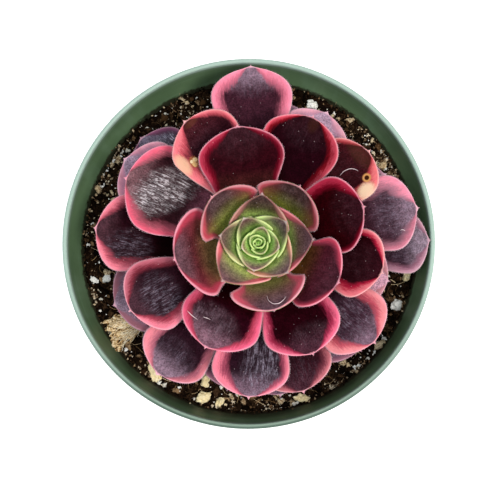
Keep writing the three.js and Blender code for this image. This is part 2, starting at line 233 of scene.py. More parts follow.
def latheMesh(profile, sides):
    # rings of a closed profile turned about +Z; a point on the axis becomes one vertex
    vertices, faces, rings = [], [], []
    for radius, height in profile:
        if radius == 0:
            rings.append([len(vertices)] * sides)
            vertices.append((0, 0, height))
            continue
        rings.append(list(range(len(vertices), len(vertices) + sides)))
        for side in range(sides):
            vertices.append((*onCircle(radius, side / sides * math.tau), height))
    for lower, upper in zip(rings, rings[1:]):
        for side in range(sides):
            after = (side + 1) % sides
            face = [lower[side], lower[after], upper[after], upper[side]]
            face = [v for i, v in enumerate(face) if v not in face[:i]]
            if len(face) > 2:
                faces.append(face)
    return vertices, faces


def mouldedPolypropylene():
    # polypropylene, injection moulded and then left outdoors: satin, a little chalky, with soil dust inside, a
    # painted highlight on the rim and painted shade at the front
    # clouds of 22 mm, soil dust of 2.4 mm, grain of 0.6 mm
    material, add = newMaterial("pot green polypropylene, moulded")
    place = add("NewGeometry")
    inMillimetres = add("VectorMath", place, 1 / mm, operation="SCALE")
    split = add("SeparateXYZ", inMillimetres)
    y, z = split.outputs["Y"], split.outputs["Z"]
    streaks = add("Mapping", {"Vector": place, "Scale": (90, 90, 14)})     # long marks down the wall
    marks = add("TexNoise", {"Vector": streaks, "Scale": 1.0, "Detail": 4.0, "Roughness": 0.6})
    rings = add("Mapping", {"Vector": place, "Scale": (16, 16, 420)})      # scuffs round it, 2 mm apart
    scuffs = add("TexNoise", {"Vector": rings, "Scale": 1.0, "Detail": 3.0})
    cloud = add("TexNoise", {"Vector": place, "Scale": 45.0, "Detail": 3.0})
    colour = add("ValToRGB", cloud, stops=list(zip((0.3, 0.7), pot["green"])))
    # inside, the front wall is painted darker towards the soil, as painted shade, and crumbs cling to the last
    # millimetres over the soil
    radius = add("VectorMath", add("VectorMath", inMillimetres, (1, 1, 0), **times), operation="LENGTH")
    upright = add("Math", z, -pot["slope"], radius, **timesPlus)
    wallLine = pot["rimRadius"] - pot["lip"] - pot["slope"] * pot["height"]
    inside = add("Math", add("MapRange", upright, wallLine + 1.2, wallLine + 0.8),
                 add("MapRange", z, 89.5, 90.5), **times)
    lowFrontShade = add("Math", add("MapRange", y, 0.0, -60.0), add("MapRange", z, 105.5, 99.0), **times)
    dust = add("TexNoise", {"Vector": place, "Scale": 420.0, "Detail": 5.0, "Roughness": 0.7})
    climb = add("Math", add("MapRange", z, 98.5, 91.5), dust, **plus)
    # the band under the rim is painted lighter, more at the front, and the rim's top pale, as painted highlight; at
    # the front the top of the lip is painted grey-green outside, as painted shade, with a pale painted highlight
    # line on its inner edge
    paintedBandShare = add("Math", add("MapRange", z, 107.0, 109.0), add("MapRange", y, -20.0, -60.0, 0.5, 0.9), **times)
    for share, name in (
            (add("MapRange", marks, 0.5, 0.8, 0.0, 0.35), "streaks"),
            (add("MapRange", scuffs, 0.57, 0.74, 0.0, 0.22), "scuffs"),
            (add("Math", lowFrontShade, inside, **times), "lowFrontShade"),
            (add("Math", add("MapRange", climb, 0.78, 1.0, 0.0, 0.9), inside, **times), "crumbs"),
            (paintedBandShare, "shoulderHighlight")):
        colour = add("Mix", share, colour, linearColour(pot[name]), **rgba)
    front = add("Mix", add("MapRange", radius, 75.1, 74.6), *map(linearColour, pot["frontLipShading"]), **rgba)
    rim = add("Mix", add("MapRange", y, -12.0, -66.0), linearColour(pot["paleLipHighlight"]), front, **rgba)
    colour = add("Mix", add("MapRange", z, 108.8, 109.6), colour, rim, **rgba)
    grain = add("TexNoise", {"Vector": place, "Scale": 1800.0, "Detail": 2.0})
    bump = add("Bump", {"Height": grain, "Strength": 0.12, "Distance": 0.0002})
    add("OutputMaterial", add("BsdfPrincipled", {"Base Color": colour, "Roughness": 0.48, "IOR": 1.49,
                                                 "Specular IOR Level": 0.3, "Normal": bump}))
    return material


def makePot():
    top, rim, lip, lipRise = pot["height"], pot["rimRadius"], pot["lip"], pot["lipRise"]
    foot = pot["footRadius"]
    collarFootRadius = rim - pot["slope"] * pot["collarHeight"]
    lipArc = [(rim - lip / 2 + lip / 2 * math.cos(a), top - lipRise + lipRise * math.sin(a))
              for a in np.linspace(0, math.pi, 13)]
    profile = [
        (0, pot["footRecess"]),
        (foot - pot["footWidth"] - 1, pot["footRecess"]),
        (foot - pot["footWidth"] - 0.2, 0.3),
        (foot - pot["footWidth"] + 0.3, 0),
        (foot - 0.2, 0),
        (foot + 0.6, 0.4),
        (foot + pot["footBevel"], pot["footBevel"] + 0.2),
        (wallInside(bodyTop) + pot["wall"], bodyTop),
        (collarFootRadius - 1.2, collarFoot - 0.1),
        (collarFootRadius - 0.3, collarFoot + 0.2),
        (collarFootRadius, collarFoot + 1),
        (rim - 0.55, top - 4),
        (rim - 0.35, top - 2.6),
    ] + lipArc + [
        (rim - lip - 0.05, top - 1.6),
        (wallInside(collarStart), collarStart),
        (wallInside(bodyTop), bodyTop),
        (foot - 0.2, floorTop + 0.6),
        (foot - 1.4, floorTop),
        (0, floorTop),
    ]
    vertices, faces = latheMesh(profile, pot["sides"])
    piece = makeObject("nurseryPot", vertices, faces, [mouldedPolypropylene()])
    for hole in range(pot["drainHoles"]):
        turn = hole / pot["drainHoles"] * math.tau
        bpy.ops.mesh.primitive_cylinder_add(
            vertices=32, radius=pot["drainRadius"] * mm, depth=4 * pot["footRecess"] * mm,
            location=(*onCircle(pot["drainRing"] * mm, turn), pot["footRecess"] * mm))
        cutter = bpy.context.object
        cut = piece.modifiers.new("drainHole", "BOOLEAN")
        cut.operation, cut.solver, cut.object = "DIFFERENCE", "EXACT", cutter
        bpy.context.view_layer.objects.active = piece
        bpy.ops.object.modifier_apply(modifier=cut.name)
        bpy.data.objects.remove(cutter)
    piece.data.polygons.foreach_set("use_smooth", [True] * len(piece.data.polygons))
    bpy.context.view_layer.objects.active = piece
    piece.select_set(True)
    bpy.ops.object.shade_smooth_by_angle(angle=math.radians(pot["creaseAngle"]))
    piece.select_set(False)
    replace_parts(piece, "pot")


makePot()
print("pot made")


# potting mix

rosette = {
    "centre": (5, -5),
    "stemRadius": 6,
    "stemTop": 10.4,
    "rootTip": -50,
    "goldenAngle": 137.5,
    "firstDirection": 155,
    "topSeat": 9.6,
    "spacing": 0.7,
}
soil = {
    "depth": 18,
    "relief": 1.1,
    "clearance": 0.3,
    "clodSize": 5.0,
    "clodHeight": 1.5,
    "crumbSize": 1.6,
    "crumbHeight": 0.7,
    "lumpShapes": 5,
    "lumpRoughness": 0.9,
    "seed": 7,
    "crumbs": 2300,
    "bark": 260,
    "perlite": 520,
    "fibres": 260,
    # patches of pale litter and of perlite: x, y, spread, how many
    "litter": [(58, 37, 7, 280), (63, 26, 6, 130), (47, 50, 7, 100), (46, -54, 6, 150), (38, -62, 6, 130),
               (12, -69, 8, 110), (-57, 42, 8, 60), (-63, 30, 8, 50), (-68, 5, 6, 70), (-68, -22, 6, 70),
               (-58, -46, 6, 150), (-44, -58, 7, 110), (-30, 60, 8, 120), (-8, -68, 7, 90)],
    "wallCrumbs": 420,
    "wallCrumbReach": 5,       # how far they climb over the soil
    "whites": [(54, -43, 5, 16), (48, -51, 5, 9), (58, 38, 6, 8), (-56, 42, 8, 8), (-47, 50, 6, 6),
               (-63, 34, 6, 6), (-35, 58, 6, 5), (20, -68, 7, 8), (-40, -60, 7, 8), (66, 16, 6, 6)],
}
soilTop = pot["height"] - soil["depth"]


def soilHeight(x, y):
    # the solid's low waves, then clods and crumbs
    broad = math.sin(0.11 * x + 1.3) * math.cos(0.13 * y - 0.4)
    middle = math.sin(0.37 * x - 0.21 * y) * math.cos(0.33 * y + 0.17 * x + 2)
    small = math.sin(0.9 * x + 0.5 * y) * math.sin(0.8 * y - 0.4 * x + 1)
    fromStem = math.hypot(x - rosette["centre"][0], y - rosette["centre"][1])
    calm = float(smoothStep(fromStem, 7, 20))
    waves = soil["relief"] * calm * (0.4 * broad + 0.4 * middle + 0.35 * small)
    clods = noise.noise(Vector((x, y, 3.7)) / soil["clodSize"])
    crumbs = noise.noise(Vector((x, y, 9.1)) / soil["crumbSize"])
    return soilTop + waves + soil["clodHeight"] * max(clods, -0.35) * calm + soil["crumbHeight"] * crumbs - 0.2


def pottingMix():
    # peat and composted bark: black-brown when damp, matt, with paler dry crumbs; clods of 6 mm, grain of 0.7 mm
    material, add = newMaterial("potting mix, damp peat and bark")
    place = add("NewGeometry")
    broad = add("TexNoise", {"Vector": place, "Scale": 160.0, "Detail": 6.0, "Roughness": 0.7})
    fine = add("TexNoise", {"Vector": place, "Scale": 1400.0, "Detail": 4.0})
    colour = add("ValToRGB", add("Math", broad, fine, **times),
                 stops=[(0.17, "#080402"), (0.27, "#1c1009"), (0.36, "#342416"), (0.46, "#665038")])
    bump = add("Bump", {"Height": fine, "Strength": 0.8, "Distance": 0.0006})
    add("OutputMaterial", add("BsdfPrincipled", {"Base Color": colour, "Roughness": 0.95, "IOR": 1.45,
                                                 "Specular IOR Level": 0.05, "Normal": bump}))
    return material


def makeSoil():
    sides, rings = 240, 96
    edge = wallInside(soilTop) - soil["clearance"] - 0.1
    vertices = [(0, 0, soilHeight(0, 0))]
    turns = [side / sides * math.tau for side in range(sides)]
    for ring in range(1, rings + 1):
        for x, y in (onCircle(edge * (ring / rings), turn) for turn in turns):
            vertices.append((x, y, soilHeight(x, y)))
    underside = [
        (wallInside(collarStart) - soil["clearance"], collarStart - 0.6),
        (wallInside(bodyTop) - soil["clearance"], bodyTop + soil["clearance"]),
        (pot["footRadius"] - 0.2 - soil["clearance"], floorTop + 0.6 + soil["clearance"]),
        (pot["footRadius"] - 1.5 - soil["clearance"], floorTop + soil["clearance"]),
    ]
    for radius, height in underside:
        vertices += [(*onCircle(radius, turn), height) for turn in turns]
    faces = [(0, 1 + side, 1 + (side + 1) % sides) for side in range(sides)]
    faces += ringFaces(rings + len(underside), sides, 1)
    last = 1 + (rings + len(underside) - 1) * sides
    faces.append([last + side for side in reversed(range(sides))])
    piece = makeObject("pottingMix", vertices, faces, [pottingMix()])
    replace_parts(piece, "soil")


def lumpShape(level, roughness, seed):
    # a rough pebble of radius 1: an icosphere with its points pushed in and out
    bpy.ops.mesh.primitive_ico_sphere_add(subdivisions=level, radius=1)
    ball = bpy.context.object
    points = np.array([v.co[:] for v in ball.data.vertices])
    faces = np.array([p.vertices[:] for p in ball.data.polygons])
    bpy.data.objects.remove(ball)
    push = [1 + roughness * noise.noise(Vector(p) * 1.3 + Vector((seed, 0, 0)))
            + 0.5 * roughness * noise.noise(Vector(p) * 3.1 + Vector((0, seed, 0))) for p in points]
    return points * np.array(push)[:, None], faces


def scatterLumps(name, material, slot, seed, flatness, sink, places, sizes=None):
    # many pebbles as one mesh, each with a shade of its own; places is a list, or how many to strew over the soil
    dice = random.Random(seed)
    shapes = [lumpShape(2, soil["lumpRoughness"], seed + k) for k in range(soil["lumpShapes"])]
    edge = wallInside(soilTop) - 1.2
    parts = []
    for number in range(places if sizes else len(places)):
        points, triangles = shapes[number % len(shapes)]
        if sizes:
            radius = edge * math.sqrt(dice.uniform(0.08, 1))
            x, y = onCircle(radius, dice.uniform(0, math.tau))
            size, lift = sizes[0] + (sizes[1] - sizes[0]) * dice.random() ** 2.2, 0
        else:
            x, y, size, lift = places[number]
        stretch = np.array([dice.uniform(0.8, 1.5), dice.uniform(0.7, 1.1), flatness * dice.uniform(0.8, 1.2)])
        turn = np.array(Matrix.Rotation(dice.uniform(0, wholeTurn), 3, "Z")
                        @ Matrix.Rotation(dice.uniform(-0.5, 0.5), 3, "X"))
        placed = (points * stretch * size / 2) @ turn.T
        placed += (x, y, soilHeight(x, y) + (0.5 - sink) * size * flatness + lift)
        parts.append((placed, triangles, dice.random()))
    vertices, faces, shades = joined(parts)
    makeObject(name, vertices, faces, [material], values=shades)


def crumbMaterial(name, stops, roughness=0.95, grainScale=1500.0, bumpSize=0.0004):
    # loose dry stuff: matt, each bit with a shade of its own and a fine grain, 0.7 mm at a scale of 1500
    material, add = newMaterial(name)
    shade = add("Attribute", attribute_name="shade").outputs["Fac"]
    grain = add("TexNoise", {"Vector": add("NewGeometry"), "Scale": grainScale, "Detail": 4.0})
    tone = add("Math", add("Math", grain, 0.5, **minus), 0.7, shade, **timesPlus)
    bump = add("Bump", {"Height": grain, "Strength": 0.7, "Distance": bumpSize})
    add("OutputMaterial", add("BsdfPrincipled", {
        "Base Color": add("ValToRGB", tone, stops=stops), "Roughness": roughness, "Specular IOR Level": 0.05,
        "IOR": 1.45, "Normal": bump}))
    return material


def tubeAlong(points, radii, sides=5):
    # an open tube through the points, tapering by the radii
    points = np.asarray(points, dtype=float)
    tangents = np.gradient(points, axis=0)
    tangents /= np.linalg.norm(tangents, axis=1)[:, None]
    flat = np.cross(tangents, (0.13, 0.21, 0.97))
    flat /= np.linalg.norm(flat, axis=1)[:, None]
    steep = np.cross(tangents, flat)
    turns = np.linspace(0, math.tau, sides, endpoint=False)
    rings = (points[:, None] + np.asarray(radii)[:, None, None]
             * (flat[:, None] * np.cos(turns)[None, :, None] + steep[:, None] * np.sin(turns)[None, :, None]))
    return rings.reshape(-1, 3), [(a, b, c, d) for a, d, c, b in ringFaces(len(points), sides)]


def patches(rows, sizes, seed):
    # x, y, size and height over the soil of bits round each row's middle, kept inside the wall
    dice, places = random.Random(seed), []
    edge = wallInside(soilTop) - 0.9
    for x, y, spread, count in rows:
        for _ in range(count):
            u, v = dice.gauss(x, spread / 2), dice.gauss(y, spread / 2)
            size = sizes[0] + (sizes[1] - sizes[0]) * dice.random() ** 1.6
            shrink = min(1, (edge - size / 3) / math.hypot(u, v))
            places.append((u * shrink, v * shrink, size, 0))
    return places


def wallPlaces():
    # crumbs that cling to the wall over the soil
    dice, places = random.Random(soil["seed"] + 70), []
    for _ in range(soil["wallCrumbs"]):
        turn, lift = dice.uniform(0, math.tau), dice.expovariate(1.1)
        size, lift = dice.uniform(0.5, 1.5) / (1 + 0.5 * lift), min(lift, soil["wallCrumbReach"])
        radius = wallInside(soilTop + lift) - 0.35 * size - 0.3
        places.append((*onCircle(radius, turn), size, lift))
    return places


def makeFibres():
    # dry peat fibres, curled over the crumbs
    dice = random.Random(soil["seed"] + 40)
    edge = wallInside(soilTop) - 2
    parts, steps = [], 9
    for _ in range(soil["fibres"]):
        radius = edge * math.sqrt(dice.uniform(0.2, 1))
        x, y = onCircle(radius, dice.uniform(0, math.tau))
        heading, length = dice.uniform(0, wholeTurn), dice.uniform(3, 11)
        curl, points = dice.uniform(-0.35, 0.35), []
        for step in range(steps):
            lift = 0.35 + 0.9 * math.sin(step / (steps - 1) * math.pi) * dice.uniform(0.5, 1)
            if math.hypot(x, y) < edge:
                points.append((x, y, soilHeight(x, y) + lift))
            x += math.cos(heading) * length / steps
            y += math.sin(heading) * length / steps
            heading += curl + dice.uniform(-0.25, 0.25)
        if len(points) < 4:
            continue
        thick = dice.uniform(0.08, 0.23)
        parts.append((*tubeAlong(points, np.linspace(thick, thick * 0.4, len(points))), dice.random()))
    straw = crumbMaterial("peat fibre, dry", [(0.1, "#3c2a1c"), (0.5, "#94744e"), (0.9, "#e0c8a0")])
    vertices, faces, shades = joined(parts)
    makeObject("peatFibres", vertices, faces, [straw], values=shades)


makeSoil()
peatCrumb = crumbMaterial("peat crumb", [(0.0, "#080402"), (0.45, "#1c1109"), (0.7, "#443020"), (0.86, "#8a6c4e"),
                                         (1.0, "#dcc8a4")])
barkChip = crumbMaterial("composted bark", [(0.0, "#24150c"), (0.5, "#543a24"), (0.85, "#a08260"), (1.0, "#dcc49c")])
perlite = crumbMaterial("perlite, expanded", [(0.0, "#cdc6b8"), (0.4, "#f0ece2"), (1.0, "#fdfcf8")], roughness=0.85)
paleCrumb = crumbMaterial("peat crumb, dried pale", [(0.0, "#140c07"), (0.4, "#44301f"), (0.7, "#8c745a"),
                                                     (1.0, "#ecdcc0")])
seed = soil["seed"]
litter = patches(soil["litter"], (0.3, 1.2), seed + 50)
whites = patches(soil["whites"], (0.5, 1.6), seed + 60)
# name, material, slot, seed, flatness, how deep they sit, places or how many, sizes
for row in (("peatCrumbs", peatCrumb, "potting_mix", seed, 0.8, 0.25, soil["crumbs"], (0.5, 3.3)),
            ("barkBits", barkChip, "potting_mix", seed + 10, 0.5, 0.25, soil["bark"], (1.2, 3.8)),
            ("perliteBits", perlite, "perlite", seed + 20, 0.9, 0.25, soil["perlite"], (0.45, 1.7)),
            ("paleCrumbs", paleCrumb, "potting_mix", seed + 51, 0.7, 0.1, litter),
            ("whiteBits", perlite, "perlite", seed + 61, 0.9, 0.05, whites),
            ("wallCrumbs", peatCrumb, "potting_mix", seed + 71, 0.9, 0.25, wallPlaces())):
    scatterLumps(*row)
makeFibres()
print("potting mix made")


# grit and perlite large enough to be pieces of their own

grit = {
    "sink": 0.35,              # the bits sit down into the soil's crumbs
    "roughness": 0.55,
    "flatUnder": 0.6,          # of half the height
    "shade": 0.55,
    # length, width, height, turn in degrees, colours
    "bits": [
        (9.0, 5.0, 2.6, 115, "tan"), (6.6, 5.0, 3.0, 10, "tan"), (4.8, 3.8, 2.4, 40, "tan"),
        (7.2, 4.0, 2.8, 170, "tan"), (7.4, 4.4, 2.6, 80, "tan"), (5.4, 4.6, 3.2, 15, "white"),
        (5.2, 3.6, 2.6, 75, "tan"), (5.2, 4.4, 2.6, 30, "white"), (4.2, 2.8, 2.0, 150, "white"),
        (4.4, 3.2, 2.0, 30, "white"),
    ],
}

# crushed stone and popped perlite: matt, stained by the peat, with pits of 1.4 mm
pitted = {"roughness": 0.85, "grainScale": 700.0, "bumpSize": 0.0006}
tanGrit = crumbMaterial("tan grit, crushed",
                        [(0.0, "#c09a62"), (0.4, "#ecd49c"), (0.7, "#fbeec8"), (1.0, "#fffae8")], **pitted)
whiteGrit = crumbMaterial("perlite lump", [(0.0, "#c4bdb0"), (0.35, "#f0ede4"), (1.0, "#ffffff")], **pitted)


def makeChips():
    # each is fitted to the box of its solid
    for number, (length, width, height, turn, kind) in enumerate(grit["bits"]):
        node = "chip_%02d" % (number + 1)
        low, high = (np.array(corner[:]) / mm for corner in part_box(node))
        points, triangles = lumpShape(4, grit["roughness"], 3.1 * number + 1)
        pits = [0.06 * noise.noise(Vector(p) * 7 + Vector((number, 0, 0))) for p in points]
        points = points * (1 + np.array(pits))[:, None]
        points[:, 2] = np.maximum(points[:, 2], -grit["flatUnder"])
        spin = np.array(Matrix.Rotation(math.radians(turn), 3, "Z"))
        shaped = (points * (length / 2, width / 2, height / 1.6)) @ spin.T
        size = shaped.max(axis=0) - shaped.min(axis=0)
        shaped = (shaped - shaped.min(axis=0)) / size * (high - low) + low
        shaped[:, 2] -= grit["sink"]
        skin, slot = (tanGrit, "tan_grit") if kind == "tan" else (whiteGrit, "perlite")
        piece = makeObject("chip%02d" % (number + 1), shaped, triangles.tolist(), [skin],
                           values={"shade": np.full(len(shaped), grit["shade"])})
        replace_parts(piece, node)


makeChips()
print("grit made")


# leaves

blade = {
    "thickness": 2.2,
    "margin": 0.7,
    "stalkHalfWidth": 3.2,
    "stalkLength": 1.3,
    # how blunt the tip is, how full it is, how full the shoulders are, where the widest place is, and how fast the
    # leaf draws in behind it
    "outline": (2.3, 0.65, 1.5, 0.4, 0.0),
    "innerOutline": (2.3, 0.68, 1.5, 0.37, 0.1),
    "youngOutline": (2.3, 0.75, 1.7, 0.32, 0.3),
    "footHeadingShare": 0.35,
    "curveReach": 0.36,
    "footCupShare": 0.45,
    "crownOver": 0.4,
    "mucro": 1.8,              # the little point at the tip
    "stations": 46,
    "columns": 26,
    "groove": 0.16,            # over the midrib
    "wave": 0.28,              # along the margin
    "ciliaSpacing": 0.42,
    "ciliaLength": 0.6,
    "ciliaRadius": 0.05,       # about twice life size, so that they show
    "grownWidth": 26,          # a narrower leaf has a smaller point, wave and hairs
}

# direction of the tip, reach from the stem's axis, height over the rim, width along the curve, cup radius
heartLeaves = [
    (152, 3.6, 27.6, 8, 2.9),
    (293, 5.0, 28.0, 9, 3.5),
    (71, 6.2, 28.2, 10.5, 4.2),
    (200, 6.8, 28.5, 14, 5.4),
    (344, 8.5, 29.0, 16, 6.2),
    (121, 10.7, 29.4, 19, 7.6),
    (262, 11.4, 29.5, 21, 8.4),
    (35, 13.2, 29.8, 22, 9.8),
    (171, 14.8, 30.0, 23, 10.8),
    (313, 16.4, 30.2, 24.5, 12),
    (85, 18.4, 30.5, 26.5, 14),
    (228, 20.2, 30.5, 28.5, 16),
    (2, 21.0, 30.5, 30, 18),
]
heart = {
    "seatTop": 18.5,
    "seatStep": 0.6,
    "footRadius": (0.9, 4),    # of the youngest leaf and the oldest
    "thickness": (1.1, 2),
    "thinUnder": 9,            # leaves narrower than this are thinner
    "curl": -4,
    "outline": (1.4, 0.97, 1.7, 0.45, 0.25),
}

# the same five, then the upward curl in degrees and the sideways lean
outerLeaves = [
    (136, 24.4, 31, 30, 20, 10, -1),
    (283, 26.6, 30.5, 31, 22, 10, 0),
    (53, 26.2, 30.5, 29.5, 23, 10, -1.5),
    (192, 32.2, 29, 36, 29, 26, -2),
    (333, 33.8, 27.5, 30, 30, 20, 0),
    (100, 46.6, 24.5, 34, 40, 6, 0),
    (243, 44.2, 23.5, 32, 40, 8, 0),
    (19, 42.9, 23, 30.5, 38, 16, 1.5),
    (153, 59.2, 17, 38, 45, 14, -4),
    (296, 46.6, 20, 31, 42, 10, 1.5),
    (67, 55.2, 19, 32, 40, 16, 0),
    (207, 56, 17, 29.5, 42, 14, -3.5),
    (347, 49, 16.5, 28, 38, 14, 3.5),
    (121, 57, 20, 31, 42, -6, -6),
    (266, 58.7, 13, 30.5, 45, 6, 0),
    (41, 58.5, 12.5, 28, 42, 8, 0),
    (173, 66.2, 10.5, 31.5, 48, 10, 0),
    (320, 58.6, 10.5, 30, 46, 8, 2.5),
    (92.5, 75.2, 8.5, 33.5, 55, 4, 0),
    (231, 64, 8.5, 29, 50, 8, 0),
    (14, 65.3, 8, 31, 50, 6, 2.5),
    (146, 66.6, 6, 30, 55, 6, 0),
    (287, 59.4, 6, 29.5, 55, 4, 0),
    (63.5, 63, 5, 29, 60, 4, 1.5),
    (201, 62.9, 4, 30, 60, 6, 0),
    (346, 53.6, 3, 28, 60, 4, 0),
    (117, 46, 0.6, 26, 70, 4, 0),
    (257, 57.6, 1, 27, 70, 4, 0),
    (31, 60.6, 1, 27, 70, 4, 0),
    (168, 54, -1.5, 26, 70, 4, 0),
    (315, 57.6, -1, 27, 70, 4, 0),
    (80, 64, -1.5, 28, 70, 4, 0),
    (221, 54, -3.5, 26, 70, 4, 0),
    (3, 68.8, 2.4, 25.5, 70, 12, 0),
    (136, 70, -4, 28, 70, 4, 0),
    (278, 59.6, -5, 26, 70, 4, 0),
]
rolled = {8: 12, 13: 12}       # rows whose leaf is rolled by so many degrees, which raises its left margin


def onRosette(direction, radius, height):
    x, y = onCircle(radius, direction)
    return np.array([rosette["centre"][0] + x, rosette["centre"][1] + y, pot["height"] + height])


def grown(leaf):
    return min(leaf["width"] / blade["grownWidth"], 1)


def leafCurve(foot, footDirection, tip, curl, lean, **shape):
    # the middle line: a cubic from the foot on the stem to the tip, measured along its length
    run = tip - foot
    chord = np.linalg.norm(run)
    rise = math.atan2(run[2], math.hypot(run[0], run[1]))
    tipDirection = math.atan2(run[1], run[0])
    swing = math.remainder(tipDirection - footDirection, math.tau)
    heading = tipDirection - swing * blade["footHeadingShare"]

    def arrow(direction, climb):
        return np.array([*onCircle(math.cos(climb), direction), math.sin(climb)])

    aside = np.array([-math.sin(tipDirection), math.cos(tipDirection), 0]) * lean
    reach = chord * blade["curveReach"]
    knots = np.array([foot, foot + arrow(heading, rise - curl) * reach + aside,
                      tip - arrow(tipDirection, rise + curl) * reach + aside, tip])
    steps = np.linspace(0, 1, 201)[:, None]
    weights = np.hstack([(1 - steps) ** 3, 3 * (1 - steps) ** 2 * steps, 3 * (1 - steps) * steps ** 2, steps ** 3])
    line = weights @ knots
    lengths = np.concatenate([[0], np.cumsum(np.linalg.norm(np.diff(line, axis=0), axis=1))])
    return {"line": line, "lengths": lengths, "length": lengths[-1], "footDirection": footDirection,
            "swing": swing, **shape}


def outerCurve(order):
    direction, reach, height, width, cup, curl, lean = outerLeaves[order]
    rank = len(heartLeaves) + order
    footDirection = math.radians(rosette["firstDirection"] + rosette["goldenAngle"] * rank)
    foot = onRosette(footDirection, rosette["stemRadius"] + 0.3, rosette["topSeat"] - rosette["spacing"] * order)
    tip = onRosette(math.radians(direction), reach, height)
    # three young leaves, three of the inner ring, then the others
    outline = "outline" if order > 5 else "innerOutline" if order > 2 else "youngOutline"
    return leafCurve(foot, footDirection, tip, math.radians(curl / 2), lean,
                     roll=math.radians(rolled.get(order, 0)), width=width, cup=cup, thickness=blade["thickness"],
                     held=rosette["stemRadius"] - 0.1, outline=blade[outline])


def heartCurve(order):
    # a negative order is one of the bud's leaves
    direction, reach, height, width, cup = heartLeaves[order] if order >= 0 else budLeaves[order]
    share = max(order, 0) / (len(heartLeaves) - 1)
    footDirection = math.radians(rosette["firstDirection"] + rosette["goldenAngle"] * order)
    (heldFirst, heldLast), (thin, thick) = heart["footRadius"], heart["thickness"]
    held = heldFirst + (heldLast - heldFirst) * share
    foot = onRosette(footDirection, held, heart["seatTop"] - heart["seatStep"] * max(order, 0))
    tip = onRosette(math.radians(direction), reach, height)
    thickness = (thin + (thick - thin) * share) * min(width / heart["thinUnder"], 1)
    return leafCurve(foot, footDirection, tip, math.radians(heart["curl"]), 0, roll=0, width=width, cup=cup,
                     thickness=thickness, held=held, outline=heart["outline"])


def halfWidthAt(leaf, back):
    # a blunt cusp with a small point, the widest place, a long taper and a narrow stalk
    width = leaf["width"]
    bluntness, fullness, shoulder, widest, lobe = leaf["outline"]
    widest *= width
    bladeEnd = min(blade["stalkLength"] * width, leaf["length"])
    stalk = min(blade["stalkHalfWidth"], 0.3 * width)
    mucro = blade["mucro"] * grown(leaf)
    inward = np.maximum(back - 0.6 * mucro, 0)
    rise = 1 - np.clip(inward / (widest - 0.6 * mucro), 0, 1)
    cusp = (1 - rise ** bluntness) ** fullness * width / 2
    point = 0.05 + 0.32 * mucro * np.clip(back / mucro, 0, 1) ** 1.3
    cusp = np.sqrt(cusp ** 2 + point ** 2)
    taper = np.clip((back - widest) / (bladeEnd - widest), 0, 1)
    long = stalk + (width / 2 - stalk) * (1 - taper ** shoulder) * (1 - lobe * smoothStep(taper, 0.02, 0.35))
    return np.where(back <= widest, np.minimum(cusp, width / 2), long)


def bladeAt(leaf, across, back):
    # the blade's middle surface: across runs from -1 to 1, back is the distance from the tip
    along = np.clip(1 - back / leaf["length"], 0, 1)
    distance = along * leaf["length"]
    centre = np.stack([np.interp(distance, leaf["lengths"], leaf["line"][:, k]) for k in range(3)], axis=-1)
    slopes = np.gradient(leaf["line"], leaf["lengths"], axis=0)
    tangent = np.stack([np.interp(distance, leaf["lengths"], slopes[:, k]) for k in range(3)], axis=-1)
    tangent /= np.linalg.norm(tangent, axis=-1, keepdims=True)
    direction = leaf["footDirection"] + leaf["swing"] * smoothStep(along, 0, 0.4)
    side = np.stack([-np.sin(direction), np.cos(direction), np.zeros_like(direction)], axis=-1)
    side = side - tangent * (side * tangent).sum(axis=-1, keepdims=True)
    side /= np.linalg.norm(side, axis=-1, keepdims=True)
    up = np.cross(tangent, side)
    roll = (leaf["roll"] * smoothStep(along, 0, 0.5))[..., None]
    side, up = side * np.cos(roll) + up * np.sin(roll), up * np.cos(roll) - side * np.sin(roll)
    half = halfWidthAt(leaf, back)
    widest = leaf["outline"][3] * leaf["width"]
    share = blade["footCupShare"] + (1 - blade["footCupShare"]) * smoothStep(along, 0, 1 - widest / leaf["length"])
    bend = leaf["cup"] * share
    angle = across * half / bend
    point = centre + side * (bend * np.sin(angle))[..., None] + up * (bend * (1 - np.cos(angle)))[..., None]
    normal = up * np.cos(angle)[..., None] - side * np.sin(angle)[..., None]
    flat = side * np.cos(angle)[..., None] + up * np.sin(angle)[..., None]
    return point, normal, flat, tangent, half


def thicknessAt(leaf, across, back, half):
    # a crowned section with a rounded margin: how far the skin stands over and under the middle surface
    fullness = 0.75 + 0.25 * np.sqrt(np.clip(half / (leaf["width"] / 2), 0, 1))
    middle = leaf["thickness"] * fullness * smoothStep(back, -4, 4 + 0.2 * leaf["length"])
    margin = blade["margin"] * np.clip(half / 1.2, 0.25, 1)
    crown = np.maximum(middle - margin, 0) * (1 - across ** 2)
    fromEdge = (1 - np.abs(across)) * half
    rounding = np.sqrt(np.clip(1 - (1 - np.clip(fromEdge / 0.5, 0, 1)) ** 2, 0, 1))
    over = (margin / 2 + crown * blade["crownOver"]) * rounding
    under = (margin / 2 + crown * (1 - blade["crownOver"])) * rounding
    return over, under


def outlineDistance(leaf, sideways, back):
    # distance to the leaf's outline, on the leaf laid flat
    edgeBack = np.linspace(0, leaf["length"], 160)
    edgeHalf = halfWidthAt(leaf, edgeBack)
    gaps = (np.abs(sideways)[..., None] - edgeHalf) ** 2 + (back[..., None] - edgeBack) ** 2
    return np.sqrt(gaps.min(axis=-1))


